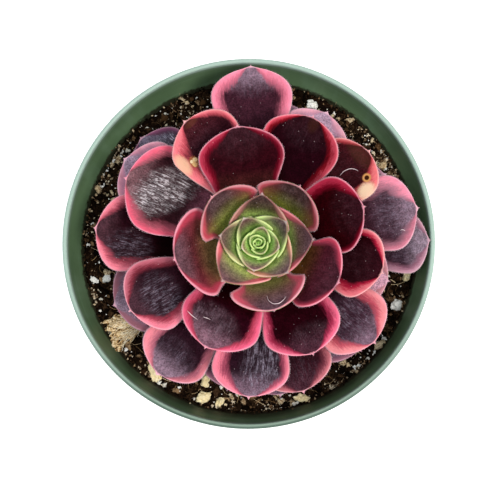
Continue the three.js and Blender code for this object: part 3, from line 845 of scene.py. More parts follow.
def leafMesh(leaf, stations, columns, seed):
    # rings round the blade from the foot to the tip, closed at both ends
    steps = np.linspace(0, 1, stations)
    backs = leaf["length"] * (1 - steps) ** 1.25
    spread = np.sin(np.linspace(-math.pi / 2, math.pi / 2, columns + 1))
    spread = 0.55 * spread + 0.45 * np.linspace(-1, 1, columns + 1)
    across = np.concatenate([spread, spread[-2:0:-1]])
    isTop = np.concatenate([np.ones(columns + 1), np.zeros(columns - 1)])
    acrossGrid, backGrid = np.meshgrid(across, backs)
    point, normal, _, _, half = bladeAt(leaf, acrossGrid, backGrid)
    over, under = thicknessAt(leaf, acrossGrid, backGrid, half)
    lift = np.where(isTop > 0, over, -under)
    # a faint groove over the midrib, and a slow wave along the margin
    groove = -blade["groove"] * np.exp(-(acrossGrid * half / 1.6) ** 2) * smoothStep(backGrid, 1, 10) * isTop
    phase = random.Random(seed).uniform(0, wholeTurn)
    wave = blade["wave"] * np.abs(acrossGrid) ** 4 * np.sin(backGrid * 0.42 + phase + np.sign(acrossGrid) * 1.3)
    wave *= smoothStep(backGrid, 2, 8) * (1 - smoothStep(backGrid, 0.6 * leaf["length"], 0.8 * leaf["length"]))
    vertices = point + normal * (lift + groove + wave * grown(leaf))[..., None]
    axis = np.array(rosette["centre"])
    foot = vertices[0, :, :2] - axis
    vertices[0, :, :2] = axis + foot / np.linalg.norm(foot, axis=-1, keepdims=True) * leaf["held"]
    around = len(across)
    faces = ringFaces(stations, around)
    faces += [tuple(range(around)), tuple(reversed(range((stations - 1) * around, stations * around)))]
    sideways = acrossGrid * half
    values = {
        "edge": outlineDistance(leaf, sideways, backGrid).ravel(),
        "sideways": sideways.ravel(),
        "back": backGrid.ravel(),
        "top": np.tile(isTop, stations),
    }
    return vertices.reshape(-1, 3), faces, values


def ciliaMesh(leaf, seed, spacing):
    # short stiff hairs that stand out from the margin
    dice = np.random.default_rng(seed)
    last = min(blade["stalkLength"] * leaf["width"], 0.8 * leaf["length"])
    count = int(last / spacing)
    back = np.concatenate([np.linspace(0.6, last, count)] * 2) + dice.uniform(-0.2, 0.2, 2 * count) * spacing * 2
    back = np.clip(back, 0.3, last)
    sign = np.concatenate([np.full(count, -1.0), np.full(count, 1.0)])
    point, normal, flat, tangent, _ = bladeAt(leaf, sign, back)
    ahead = halfWidthAt(leaf, back - 0.3) - halfWidthAt(leaf, back + 0.3)       # how fast the outline closes
    outward = flat * sign[:, None] + tangent * np.clip(-ahead / 0.6, 0, 2.5)[:, None]
    outward += normal * dice.uniform(-0.35, 0.5, len(back))[:, None]
    outward += tangent * dice.uniform(-0.2, 0.5, len(back))[:, None]
    outward /= np.linalg.norm(outward, axis=1)[:, None]
    size = grown(leaf)
    length = blade["ciliaLength"] * dice.uniform(0.6, 1.15, len(back)) * size
    first = np.cross(outward, normal)
    first /= np.linalg.norm(first, axis=1)[:, None]
    second = np.cross(outward, first)
    root = point - outward * 0.05
    corners = [root + blade["ciliaRadius"] * size * (first * math.cos(a) + second * math.sin(a))
               for a in (0, 2.094, 4.189)]                   # a triangle round the root
    tips = root + outward * length[:, None]
    vertices = np.stack(corners + [tips], axis=1).reshape(-1, 3)
    faces = [face for a in range(0, len(vertices), 4)
             for face in ((a, a + 1, a + 3), (a + 1, a + 2, a + 3), (a + 2, a, a + 3))]
    return vertices, faces


# leaf colours

# outer and inner are the two tones of the coloured margin, dark is the blade, tip its end and foot its stalk; on the
# outer leaves the lighter tip is painted sheen, on the young leaves it is their own colour
# margin is its width at the leaf's left and right in millimetres, apex how wide the dark reaches the tip
# sheen is a patch of painted sheen, a reflection painted into the colour: sideways, back from the tip, half width,
# half length, its slant if any, amount
# spots are scars and bleached places: the same four, how ragged, colour, amount
looks = {
    "young": {"rim": "#e8a4ae", "outer": "#a84e58", "inner": "#6c3c40", "dark": "#6a4a44", "tip": "#5c4044",
              "foot": "#8c9448", "under": "#8a8a58", "paintedSheen": "#96828a", "footStart": 6, "footEnd": 15,
              "margin": (1.2, 1.2), "apex": 2, "streaks": 0.3, "sheen": (0, 6, 8, 5, 0.1)},
    "crimson": {"rim": "#f6a2b4", "outer": "#dd4564", "inner": "#9a0f2a", "dark": "#270308", "tip": "#330e17",
                "foot": "#34060b", "under": "#7a3040", "paintedSheen": "#84707c", "footStart": 18, "footEnd": 30,
                "margin": (3.0, 3.0), "apex": 5, "streaks": 0.7, "sheen": (0, 8, 8, 6, 0.04)},
    "grey": {"rim": "#f8b0be", "outer": "#f5788e", "inner": "#a2384d", "dark": "#2a111b", "tip": "#4e2f3a",
             "foot": "#1e060c", "under": "#7c4452", "paintedSheen": "#8c8292", "footStart": 20, "footEnd": 30,
             "margin": (3.4, 3.4), "apex": 5, "streaks": 1.0, "sheen": (0, 14, 9, 9, 0.55)},
    "salmon": {"rim": "#fcb8b8", "outer": "#f3636a", "inner": "#a31327", "dark": "#230308", "tip": "#2f0b14",
               "foot": "#1e0407", "under": "#8a4a44", "paintedSheen": "#84707c", "footStart": 18, "footEnd": 34,
               "margin": (3.0, 3.0), "apex": 4, "streaks": 0.7, "sheen": (0, 12, 8, 8, 0.04)},
    "pale": {"rim": "#f4bccc", "outer": "#ef8aa1", "inner": "#ab687a", "dark": "#3c1c28", "tip": "#866b7b",
             "foot": "#280f18", "under": "#7c4c5a", "paintedSheen": "#887e90", "footStart": 18, "footEnd": 30,
             "margin": (4.2, 4.2), "apex": 4, "streaks": 0.8, "sheen": (0, 9, 9, 7, 0.2)},
    "old": {"rim": "#cfa0b0", "outer": "#a06a7c", "inner": "#7c5064", "dark": "#4c3442", "tip": "#7e6676",
            "foot": "#24141c", "under": "#6a4a56", "paintedSheen": "#9c90a4", "footStart": 20, "footEnd": 40,
            "margin": (2.4, 2.4), "apex": 3, "streaks": 0.8, "sheen": (0, 11, 11, 10, 0.35)},
    "faded": {"rim": "#eebccc", "outer": "#e2a6b6", "inner": "#d09aac", "dark": "#a87a90", "tip": "#d49cb0",
              "foot": "#50303e", "under": "#8a5a6a", "paintedSheen": "#c0a8b8", "footStart": 18, "footEnd": 38,
              "margin": (3.4, 3.4), "apex": 3, "streaks": 0.3, "sheen": (0, 8, 10, 8, 0.2)},
}
for look in looks.values():
    look.update({"rimWidth": 0.6, "rimAmount": 0.85, "point": look["rim"], "sides": (1.0, 1.0)})

leafLooks = [
    ("young", {"margin": (1.2, 0.9), "rim": "#d8929a", "outer": "#8c4448", "dark": "#54462a", "tip": "#452a2c",
               "foot": "#7a823a", "lobe": "#c8505e", "width": 30, "flare": 3.6}),
    ("young", {"margin": (1.2, 1.4), "rim": "#f0a6b2", "outer": "#9c525c", "inner": "#7a4650", "dark": "#74544e",
               "tip": "#5e3e48", "foot": "#7c7840", "footStart": 9, "footEnd": 18, "sheen": (1, 5, 8, 4, 0.12),
               "lobe": "#dc5c70", "width": 31, "flare": 4.2}),
    ("young", {"margin": (0.8, 0.8), "rim": "#cc868e", "outer": "#70343a", "inner": "#40201e", "dark": "#382714",
               "tip": "#331a16", "foot": "#5e6226", "footStart": 5, "footEnd": 14, "lobe": "#b84e5a", "width": 29.5,
               "flare": 3.4}),
    ("crimson", {"margin": (2.4, 2.6), "outer": "#ac3a50", "inner": "#702a38", "dark": "#582429", "tip": "#6b4750",
                 "foot": "#74603a", "footStart": 10, "footEnd": 22, "apex": 5, "sheen": (0, 5, 9, 4, 0.12),
                 "width": 36, "lobe": "#c8465c", "flare": 1.8}),
    ("crimson", {"margin": (2.6, 2.2), "outer": "#dc4e68", "inner": "#8e3448", "dark": "#4c1a26", "tip": "#4e2430",
                 "foot": "#583818", "footStart": 11, "footEnd": 22, "sides": (1.0, 0.85)}),
    ("crimson", {"margin": (3.4, 2.2), "outer": "#b93850", "inner": "#780c23", "dark": "#2c070f", "tip": "#34151d",
                 "foot": "#582826", "footStart": 17, "footEnd": 27, "apex": 6, "sides": (1.0, 0.65)}),
    ("crimson", {"margin": (4.0, 3.4), "outer": "#ff6b8f", "inner": "#c5445e", "dark": "#2b0713", "tip": "#7f5464",
                 "foot": "#1e0205", "footStart": 16, "footEnd": 24, "apex": 9, "streaks": 0.6,
                 "sheen": (-3, 9, 10, 8, 0.4), "sides": (1.0, 0.75)}),
    ("crimson", {"margin": (4.0, 1.8), "outer": "#b22b46", "inner": "#710a1f", "dark": "#270206", "tip": "#310d16",
                 "apex": 7, "sides": (1.0, 0.7)}),
    ("crimson", {"margin": (5.0, 3.6), "rim": "#f8a8bc", "outer": "#f0657f", "inner": "#ab5564", "dark": "#34181e",
                 "tip": "#7a565c", "foot": "#70404e", "footStart": 25, "footEnd": 33, "apex": 8, "streaks": 1.0,
                 "paintedSheen": "#c8c0c4", "sheen": (0, 16.0, 11, 8.5, 0.45, 0.85), "sides": (0.95, 1.1)}),
    ("crimson", {"margin": (4.0, 3.4), "rim": "#f8a8ba", "outer": "#ff7394", "inner": "#a9304f", "dark": "#25040c",
                 "tip": "#4a2532", "foot": "#1a0204", "apex": 7, "sheen": (2, 8, 7, 5, 0.14), "sides": (1.0, 0.88)}),
    ("crimson", {"margin": (2.4, 3.8), "rim": "#fcaab6", "outer": "#e35367", "inner": "#85101e", "dark": "#20040c",
                 "tip": "#280810", "foot": "#240407", "footStart": 24, "footEnd": 36, "apex": 8,
                 "sides": (1.0, 0.75), "spots": [(-1.5, 3.5, 2.0, 3.0, 1.6, "#5c3420", 0.2)]}),
    ("grey", {"margin": (4.4, 3.4), "outer": "#ff8ca0", "inner": "#aa4254", "dark": "#28111a", "tip": "#462b34",
              "sheen": (1, 14, 8, 7, 0.42), "sides": (1.0, 0.55)}),
    ("salmon", {"margin": (2.4, 4.8), "outer": "#f7808b", "inner": "#b7213e", "apex": 6, "sides": (1.0, 0.85)}),
    ("salmon", {"margin": (6.2, 2.0), "outer": "#f07c86", "inner": "#b84a56", "dark": "#2e0d16", "tip": "#43161d",
                "foot": "#240c14", "spots": [
                    (13.0, 13.4, 2.4, 5.0, 1.2, "#f4cca4", 0.7), (8.4, 15.4, 2.1, 2.5, 2.6, "#a86c3c", 0.7),
                    (7.6, 14.8, 1.0, 1.0, 2.6, "#ecd09c", 0.9), (8.8, 16.1, 1.0, 1.3, 2.6, "#dcb47c", 0.9),
                    (9.3, 14.5, 0.7, 0.7, 2.6, "#f0dcb4", 0.8),
                    (-1.4, 3.0, 3.0, 1.2, 1.6, "#84502e", 0.2)]}),
    ("grey", {"margin": (2.8, 5.6), "outer": "#ff889e", "inner": "#a2495f", "dark": "#25101a", "tip": "#765b6b",
              "apex": 7, "sheen": (4, 12, 7, 13, 0.62)}),
    ("salmon", {"margin": (2.0, 5.4), "outer": "#f27a7e", "inner": "#b43e46", "dark": "#2f070d", "tip": "#3d0e15",
                "foot": "#501420", "apex": 6, "sides": (0.7, 1.0), "spots": [
                    (-11.4, 11.8, 2.8, 3.6, 1.2, "#fce0bc", 0.85), (1.0, 4.6, 6.0, 2.6, 1.6, "#5a3c28", 0.25),
                    (-7.5, 8.4, 1.7, 1.7, 0.5, "#d09458", 1.0), (-7.5, 8.4, 0.95, 0.95, 0.2, "#3a1a0c", 1.0)]}),
    ("grey", {"margin": (4.2, 3.9), "outer": "#fb889a", "inner": "#ac4c5c", "dark": "#22070f", "tip": "#482c34",
              "foot": "#100203", "apex": 6, "sheen": (5, 15, 6, 8, 0.3), "sides": (1.0, 0.9)}),
    ("grey", {"margin": (5.0, 5.4), "outer": "#f7959b", "inner": "#c05060", "dark": "#3a1f2c", "tip": "#765b6b",
              "apex": 6, "sheen": (0, 13, 9, 9, 0.3)}),
    ("pale", {"margin": (4.5, 4.5), "rim": "#fabfcc", "outer": "#fa8ca5", "inner": "#c7677d",
              "sheen": (0, 8, 9, 5, 0.15)}),
    ("pale", {"margin": (3.8, 7.0), "outer": "#ef8b98", "inner": "#b26375", "dark": "#2a131d", "apex": 9,
              "sides": (0.8, 1.0)}),
    ("pale", {"margin": (5.6, 3.6), "dark": "#3e212c", "outer": "#f492a9", "inner": "#b07486", "streaks": 0.7,
              "sheen": (0, 10, 9, 8, 0.3), "sides": (1.0, 0.7)}),
    ("faded", {"rim": "#f8c4d2", "outer": "#e69cb0", "inner": "#c88ca4", "dark": "#86748e", "tip": "#ac90a6",
               "margin": (3.0, 3.0)}),
    ("grey", {"margin": (3.6, 3.8), "rim": "#eeb0b6", "outer": "#cc747e", "inner": "#703440", "dark": "#2e0f18",
              "tip": "#42222c", "apex": 5, "sheen": (0, 10, 8, 8, 0.08)}),
    ("faded", {"outer": "#e0a0b0", "inner": "#b8849a", "dark": "#987c94", "tip": "#ac8ca2"}),
    ("old", {"outer": "#94606c", "inner": "#8c5a68", "dark": "#7c5062"}),
    ("faded", {"outer": "#d8949e", "inner": "#b47880", "dark": "#905a68"}),
    ("old", {}),
    ("old", {"dark": "#3e2a3a", "tip": "#5a4658"}),
    ("faded", {"outer": "#c08a9c", "inner": "#a07488", "dark": "#7c6074"}),
    ("old", {}),
    ("old", {"dark": "#30202c"}),
    ("faded", {"outer": "#c496ac", "inner": "#a8849c", "dark": "#8a6c84"}),
    ("old", {}),
    ("old", {"margin": (2.4, 3.0), "rim": "#e0b8c4", "outer": "#c08c9e", "inner": "#8a5c6e", "dark": "#341e29",
             "tip": "#8c7886", "sheen": (2, 10, 9, 8, 0.25)}),
    ("old", {"dark": "#33242f", "tip": "#6e6476", "outer": "#8c5070", "inner": "#5c3c50", "streaks": 1.0,
             "paintedSheen": "#b0aabc", "sheen": (-5, 9, 6, 4, 0.8)}),
    ("old", {"dark": "#4a2c3c", "tip": "#5c4050"}),
]


def ciliaMaterial():
    # leaf hairs: dry, clear and white
    material, add = newMaterial("cilia, dry white hair")
    add("OutputMaterial", add("BsdfPrincipled", {"Base Color": linearColour("#fbe4e8"), "Roughness": 0.6,
                                                 "IOR": 1.45}))
    return material


def leafSkin(name, look, seed):
    # waxy leaf skin: satin, with a coloured margin that fades into the blade and a painted sheen, a reflection
    # painted into the colour in strokes along the leaf
    material, add = newMaterial(name)
    hue = {key: linearColour(value) for key, value in look.items() if isinstance(value, str)}
    edge, sideways, back, top = (add("Attribute", attribute_name=key).outputs["Fac"]
                                 for key in ("edge", "sideways", "back", "top"))
    place = add("CombineXYZ", sideways, back, seed * 13.7)     # each leaf has its own part of the noise
    # in millimetres on the leaf: soft marks along it, strokes 0.6 mm apart, an even mottle of 3 mm, specks of 0.6 mm
    softPlace = add("Mapping", {"Vector": place, "Scale": (0.45, 0.2, 1)})
    finePlace = add("Mapping", {"Vector": place, "Scale": (1.7, 0.24, 1)})
    soft = add("TexNoise", {"Vector": softPlace, "Scale": 1.0, "Detail": 3.0})
    fine = add("TexNoise", {"Vector": finePlace, "Scale": 1.0, "Detail": 6.0, "Roughness": 0.7, "Distortion": 1.1})
    mottle = add("TexNoise", {"Vector": place, "Scale": 0.33, "Detail": 3.0})
    speck = add("TexNoise", {"Vector": place, "Scale": 1.6, "Detail": 3.0, "Roughness": 0.75})
    # the margin: its width changes over the leaf, and the dark of the blade reaches the tip
    left, right = look["margin"]
    footStart, footEnd = look["footStart"], look["footEnd"]
    aside = add("Math", sideways, operation="ABSOLUTE")
    width = add("Math", add("MapRange", sideways, -6.0, 6.0, right, left, **smooth),
                add("MapRange", aside, 0.2 * look["apex"], look["apex"] + 3.5, 0.08, 1.0, **smooth), **times)
    if "lobe" in look:
        flare = add("MapRange", aside, 0.12 * look["width"], 0.45 * look["width"], 0.5, look["flare"], **smooth)
        width = add("Math", width, flare, **times)
    width = add("Math", width, add("MapRange", back, footStart, footEnd + 6.0, 1.0, 0.35, **smooth), **times)
    # it fades raggedly into the blade, by the marks, specks and strokes
    shift = 0.0
    for marks, amount in ((soft, 0.7), (speck, 0.4), (fine, 1.1)):
        shift = add("Math", add("Math", marks, 0.5, **minus), amount, shift, **timesPlus)
    band = add("Math", shift, add("MapRange", edge, 0.3, 2.0, **smooth),
               add("Math", edge, width, operation="DIVIDE"), **timesPlus)
    # the dark blade, with its tip: on the outer leaves a lighter tip as painted sheen, on the young and heart leaves
    # their own colour
    tipEnd = look.get("tipEnd", 12.0)
    tone = add("Mix", add("MapRange", back, tipEnd, 0.25 * tipEnd, **smooth), hue["dark"], hue["tip"], **rgba)
    tone = add("Mix", add("MapRange", back, footStart, footEnd, **smooth), tone, hue["foot"], **rgba)

    def patchReach(side, middle, halfWidth, halfLength, slant=0.0):
        # squared distance from a patch's middle, 1 at its edge
        across = add("Math", add("Math", sideways, side, **minus), halfWidth, operation="DIVIDE")
        slanted = add("Math", sideways, slant, back, **timesPlus)
        along = add("Math", add("Math", slanted, middle, **minus), halfLength, operation="DIVIDE")
        return add("Math", across, across, add("Math", along, along, **times), **timesPlus)

    # painted sheen: a reflection painted into the colour as a patch, in strokes along the leaf, mottled
    *patch, amount = look["sheen"]
    paintedSheen = add("Math", add("MapRange", patchReach(*patch), 2.0, 0.0, 0.0, 1.15 * amount, **smooth),
                add("Math", add("MapRange", fine, 0.48, 0.6, **smooth), look["streaks"],
                    1.0 - 0.9 * look["streaks"], **timesPlus), **times)
    paintedSheen = add("Math", paintedSheen, add("MapRange", mottle, 0.3, 0.6, 0.5, 1.1, **smooth), **times)
    tone = add("Mix", paintedSheen, tone, hue["paintedSheen"], **rgba)
    uneven = add("Math", add("MapRange", mottle, 0.3, 0.7, 0.8, 1.2, **smooth),
                 add("MapRange", speck, 0.3, 0.7, 0.55, 1.45, **smooth), **times)
    tone = add("VectorMath", tone, uneven, operation="SCALE")
    # the margin over it, which on the young leaves turns to another colour at the lobes
    outer, inner, rim, hem, fadeStart = hue["outer"], hue["inner"], hue["rim"], look["rimWidth"], 0.15
    if "lobe" in look:
        toLobe = add("MapRange", aside, 0.12 * look["width"], 0.4 * look["width"], **smooth)
        lobeInner = linearColour(mixHex(look["lobe"], look["dark"], 0.35))
        outer = add("Mix", toLobe, outer, hue["lobe"], **rgba)
        inner = add("Mix", toLobe, inner, lobeInner, **rgba)
        rim = add("Mix", toLobe, rim, hue.get("lobeRim", rim), **rgba)
        tone = add("Mix", add("Math", toLobe, 0.2, **times), tone, hue["lobe"], **rgba)
        hem = add("MapRange", toLobe, 0.2, 1.0, hem, 2.2 * hem, **smooth)
        fadeStart = 0.35
    margin = add("Mix", add("MapRange", band, fadeStart, fadeStart + 0.7, **smooth), outer, inner, **rgba)
    leftLight, rightLight = look["sides"]
    light = add("Math", add("MapRange", sideways, -7.0, 7.0, rightLight, leftLight, **smooth),
                add("MapRange", soft, 0.3, 0.7, 0.88, 1.12, **smooth), **times)
    margin = add("VectorMath", margin, light, operation="SCALE")
    tone = add("Mix", add("MapRange", band, 1.45, 0.65, **smooth), tone, margin, **rgba)
    tone = add("Mix", add("MapRange", back, footEnd - 2.0, footEnd + 8.0, **smooth), tone, hue["foot"], **rgba)
    inRim = add("Math", edge, hem, operation="DIVIDE")
    tone = add("Mix", add("MapRange", inRim, 1.0, 0.25, 0.0, look["rimAmount"]), tone, rim, **rgba)
    tone = add("Mix", add("MapRange", back, 1.8, 0.8, 0.0, 0.7, **smooth), tone, hue["point"], **rgba)
    for *patch, ragged, colour, amount in look.get("spots", ()):
        reach = add("Math", add("Math", speck, 0.5, **minus), ragged, patchReach(*patch), **timesPlus)
        far, near = (1.2, 0.8) if ragged > 2 else (1.2 + 0.6 * ragged, 0.8 - 0.5 * ragged)
        shown = add("MapRange", reach, far, near, 0.0, amount, **smooth)
        tone = add("Mix", shown, tone, linearColour(colour), **rgba)
    # dust, in specks of 0.2 mm
    dust = add("TexVoronoi", {"Vector": place, "Scale": 0.4, "Randomness": 1.0})
    tone = add("Mix", add("MapRange", dust, 0.085, 0.04, 0.0, 0.5, **smooth), tone, linearColour("#c9b2b6"), **rgba)
    tone = add("Mix", top, hue["under"], tone, **rgba)
    grain = add("TexNoise", {"Vector": place, "Scale": 2.6, "Detail": 3.0})
    bump = add("Bump", {"Height": add("Math", fine, grain, **plus), "Strength": 0.35, "Distance": 0.0003})
    add("OutputMaterial", add("BsdfPrincipled", {
        "Base Color": tone, "Roughness": 0.45, "IOR": 1.45, "Specular IOR Level": 0.01, "Normal": bump,
        "Subsurface Weight": 0.05, "Subsurface Radius": (1.0, 0.35, 0.25), "Subsurface Scale": 0.0012}))
    return material


hairs = ciliaMaterial()


def makeLeaf(name, leaf, skin, seed):
    vertices, faces, values = leafMesh(leaf, blade["stations"], blade["columns"], seed)
    hairVertices, hairFaces = ciliaMesh(leaf, seed, blade["ciliaSpacing"])
    index = [0] * len(faces) + [1] * len(hairFaces)
    faces += [[v + len(vertices) for v in face] for face in hairFaces]
    values = {key: np.concatenate([numbers, np.zeros(len(hairVertices))]) for key, numbers in values.items()}
    return makeObject(name, np.concatenate([vertices, hairVertices]), faces, [skin, hairs],
                      materialIndex=index, values=values)


for order, (lookName, changes) in enumerate(leafLooks):
    number = "%02d" % (order + 1)
    skin = leafSkin("leaf skin %s, %s" % (number, lookName), {**looks[lookName], **changes}, order + 1)
    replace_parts(makeLeaf("leaf" + number, outerCurve(order), skin, 100 + order), "leaf_" + number)
print("outer leaves made")


# fine white threads caught on the leaves
threads = {
    "radius": 0.13,
    "lift": 0.35,
    # leaf number, then points sideways and back from the tip
    "paths": [
        (2, [(-1.3, 9.3), (-1.2, 6.1), (0.3, 3.7), (2.6, 3.1), (4.8, 4.2), (5.8, 5.4)]),
        (16, [(0.3, 16.0), (0.7, 13.5), (-0.2, 11.0), (-1.6, 9.7), (-3.3, 9.1)]),
        (7, [(-13.2, 9.2), (-10.8, 8.7), (-7.7, 8.5)]),
        (7, [(-6.7, 10.7), (-5.2, 11.1), (-3.6, 11.3)]),
        (21, [(-7.8, 9.0), (-7.7, 7.9), (-8.5, 6.8)]),
    ],
}


def makeThreads():
    parts, kernel = [], np.ones(5) / 5
    for number, places in threads["paths"]:
        leaf = outerCurve(number - 1)
        knots = np.array(places)
        steps = np.linspace(0, len(knots) - 1, 6 * len(knots))
        sideways, back = (np.convolve(np.pad(np.interp(steps, range(len(knots)), values), 2, mode="edge"), kernel,
                                      mode="valid") for values in knots.T)
        across = sideways / halfWidthAt(leaf, back)
        point, normal, _, _, half = bladeAt(leaf, across, back)
        over, _ = thicknessAt(leaf, across, back, half)
        line = point + normal * (over + threads["lift"])[:, None]
        thick = threads["radius"] * np.sin(np.linspace(0.25, math.pi - 0.25, len(line)))
        parts.append((*tubeAlong(line, thick), 1.0))
    vertices, faces, _ = joined(parts)
    makeObject("looseThreads", vertices, faces, [hairs])


makeThreads()


# heart

# the same rows as the heart leaves, for the smaller ones in the bud
budLeaves = [
    (186, 0.6, 25.8, 3.0, 1.2),
    (323, 1.0, 26.2, 3.8, 1.5),
    (100, 1.6, 26.6, 4.8, 1.9),
    (238, 2.2, 27.0, 5.8, 2.2),
    (15, 2.9, 27.3, 6.8, 2.6),
]
# rim near the tip, margin near the tip, rim at the lobes, margin at the lobes, blade behind the tip, its middle, its
# foot, and the margin in millimetres
budLook = ("#c8dc90", "#a8c870", "#e0f0a4", "#c0dc84", "#9cbc64", "#8cb058", "#84ac50", 0.5)
heartLooks = [
    ("#c0cc8c", "#a4b868", "#dcee9c", "#bcd880", "#98ac64", "#8cb058", "#84b050", 0.6),
    ("#c4c48c", "#a0a868", "#e0f0a0", "#c4e088", "#949c60", "#90b05c", "#8cb454", 0.7),
    ("#b4a084", "#90845c", "#dcec9c", "#bcd880", "#7c6c4e", "#8a9c58", "#8cb458", 0.8),
    ("#c8b890", "#a8a070", "#e4f4a8", "#d0e898", "#9c8860", "#a8c870", "#a0d060", 1.0),
    ("#b8a080", "#908460", "#e0f0a4", "#d0e898", "#8c785c", "#a4c06c", "#a8d468", 1.0),
    ("#9c8c70", "#746450", "#dcea9c", "#c8dc90", "#6a4c48", "#60703a", "#7c9c44", 1.0),
    ("#c8a890", "#947864", "#e4f0a8", "#d4e49c", "#8c6668", "#a4b470", "#a0c45e", 1.1),
    ("#8c7464", "#6c5048", "#d4e498", "#c0d488", "#5c4848", "#646c46", "#9cb05c", 1.0),
    ("#a48074", "#845c54", "#e0e0a0", "#d0c890", "#685048", "#6e7149", "#8bb250", 1.1),
    ("#a48078", "#845c58", "#f0bca4", "#e0987c", "#705458", "#8a8262", "#b0c46c", 1.1),
    ("#96645e", "#64403e", "#d09c90", "#b0746c", "#402c2a", "#444022", "#90a856", 1.0),
    ("#ac746e", "#7c504c", "#f4a8a8", "#f0707c", "#725054", "#88805c", "#b8c46c", 1.2),
    ("#946064", "#64403e", "#e89098", "#c85c68", "#52383e", "#5e4a3c", "#7c964a", 1.2),
]


def makeHeart():
    pieces = []
    for order in range(-len(budLeaves), len(heartLeaves)):
        leaf = heartCurve(order)
        width, number = leaf["width"], "%02d" % (order + len(budLeaves))
        rim, outer, lobeRim, lobe, tip, middle, foot, margin = heartLooks[order] if order >= 0 else budLook
        pointWhite = 0.65 * min(1, max(0, (width - 8) / 8))
        look = {**looks["young"], "rim": rim, "outer": outer, "inner": mixHex(outer, tip, 0.6), "dark": middle,
                "tip": tip, "foot": foot, "under": foot, "lobe": lobe, "lobeRim": lobeRim, "flare": 4.4,
                "width": width, "rimWidth": 0.42, "rimAmount": 0.8, "point": mixHex(rim, "#f8e8e8", pointWhite),
                "tipEnd": 0.34 * width, "footStart": 0.24 * width, "footEnd": 0.46 * width,
                "margin": (margin, margin), "apex": 0.05 * width, "sheen": (0, 5, 5, 5, 0.03)}
        skin = leafSkin("heart leaf skin " + number, look, 60 + order)
        pieces.append(makeLeaf("heartLeaf" + number, leaf, skin, 200 + order))
    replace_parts(pieces[-1], "heart")
    # the bud that the heart leaves grow from
    base = pot["height"] + rosette["stemTop"] + 0.3
    profile = [(0, base - 0.5), (5.2, base - 0.5), (5.0, base + 1.6), (3.6, base + 5), (2.2, base + 8.5),
               (1.5, base + 12), (0.8, base + 14), (0.3, base + 14.8), (0, base + 15)]
    vertices, faces = latheMesh(profile, 24)
    vertices = np.array(vertices) + (*rosette["centre"], 0)
    makeObject("heartCore", vertices, faces, [pieces[0].data.materials[0]],
               values={"edge": np.full(len(vertices), 5.0), "sideways": vertices[:, 0],
                       "back": np.full(len(vertices), 8.0), "top": np.ones(len(vertices))})


makeHeart()
print("heart made")


# stem

def stemBark():
    # corky stem skin: grey-brown, ringed with old leaf scars, with cracks of 2.6 mm
    material, add = newMaterial("stem bark, corky")
    cork = add("TexNoise", {"Vector": add("NewGeometry"), "Scale": 380.0, "Detail": 5.0})
    colour = add("ValToRGB", cork, stops=[(0.35, "#4a3c2e"), (0.65, "#8b7860")])
    bump = add("Bump", {"Height": cork, "Strength": 0.8, "Distance": 0.0006})
    add("OutputMaterial", add("BsdfPrincipled", {"Base Color": colour, "Roughness": 0.9, "IOR": 1.45,
                                                 "Normal": bump}))
    return material


def makeStem():
    top, root, scars = pot["height"] + rosette["stemTop"], pot["height"] + rosette["rootTip"], 24
    profile = [(0, root), (2, root), (4, root + 16)]
    for scar in range(scars + 1):
        height = soilTop - 3 + scar / scars * (top - soilTop + 2)
        profile.append((rosette["stemRadius"] - 0.5, height))
        if scar < scars:
            profile.append((rosette["stemRadius"] - 0.05, height + 0.5))
    profile += [(rosette["stemRadius"] - 1, top), (0, top)]
    vertices, faces = latheMesh(profile, 48)
    vertices = np.array(vertices) + (*rosette["centre"], 0)
    piece = makeObject("stem", vertices, faces, [stemBark()])
    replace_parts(piece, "stem")


makeStem()
print("stem made")


# dried leaf on the soil

driedLeaf = {
    "place": (-51.5, -36.5),
    "turn": 200,
    "length": 17,
    "width": 14,
    "ridgeHeight": 1.0,
    "strands": 90,
    "seed": 23,
    # tones from the furrows to the ridges: the dark end is painted shade and the pale end painted highlight
    "skin": [(0.0, "#38261a"), (0.3, "#a48052"), (0.55, "#e8cc9c"), (0.85, "#fff4da")],
}


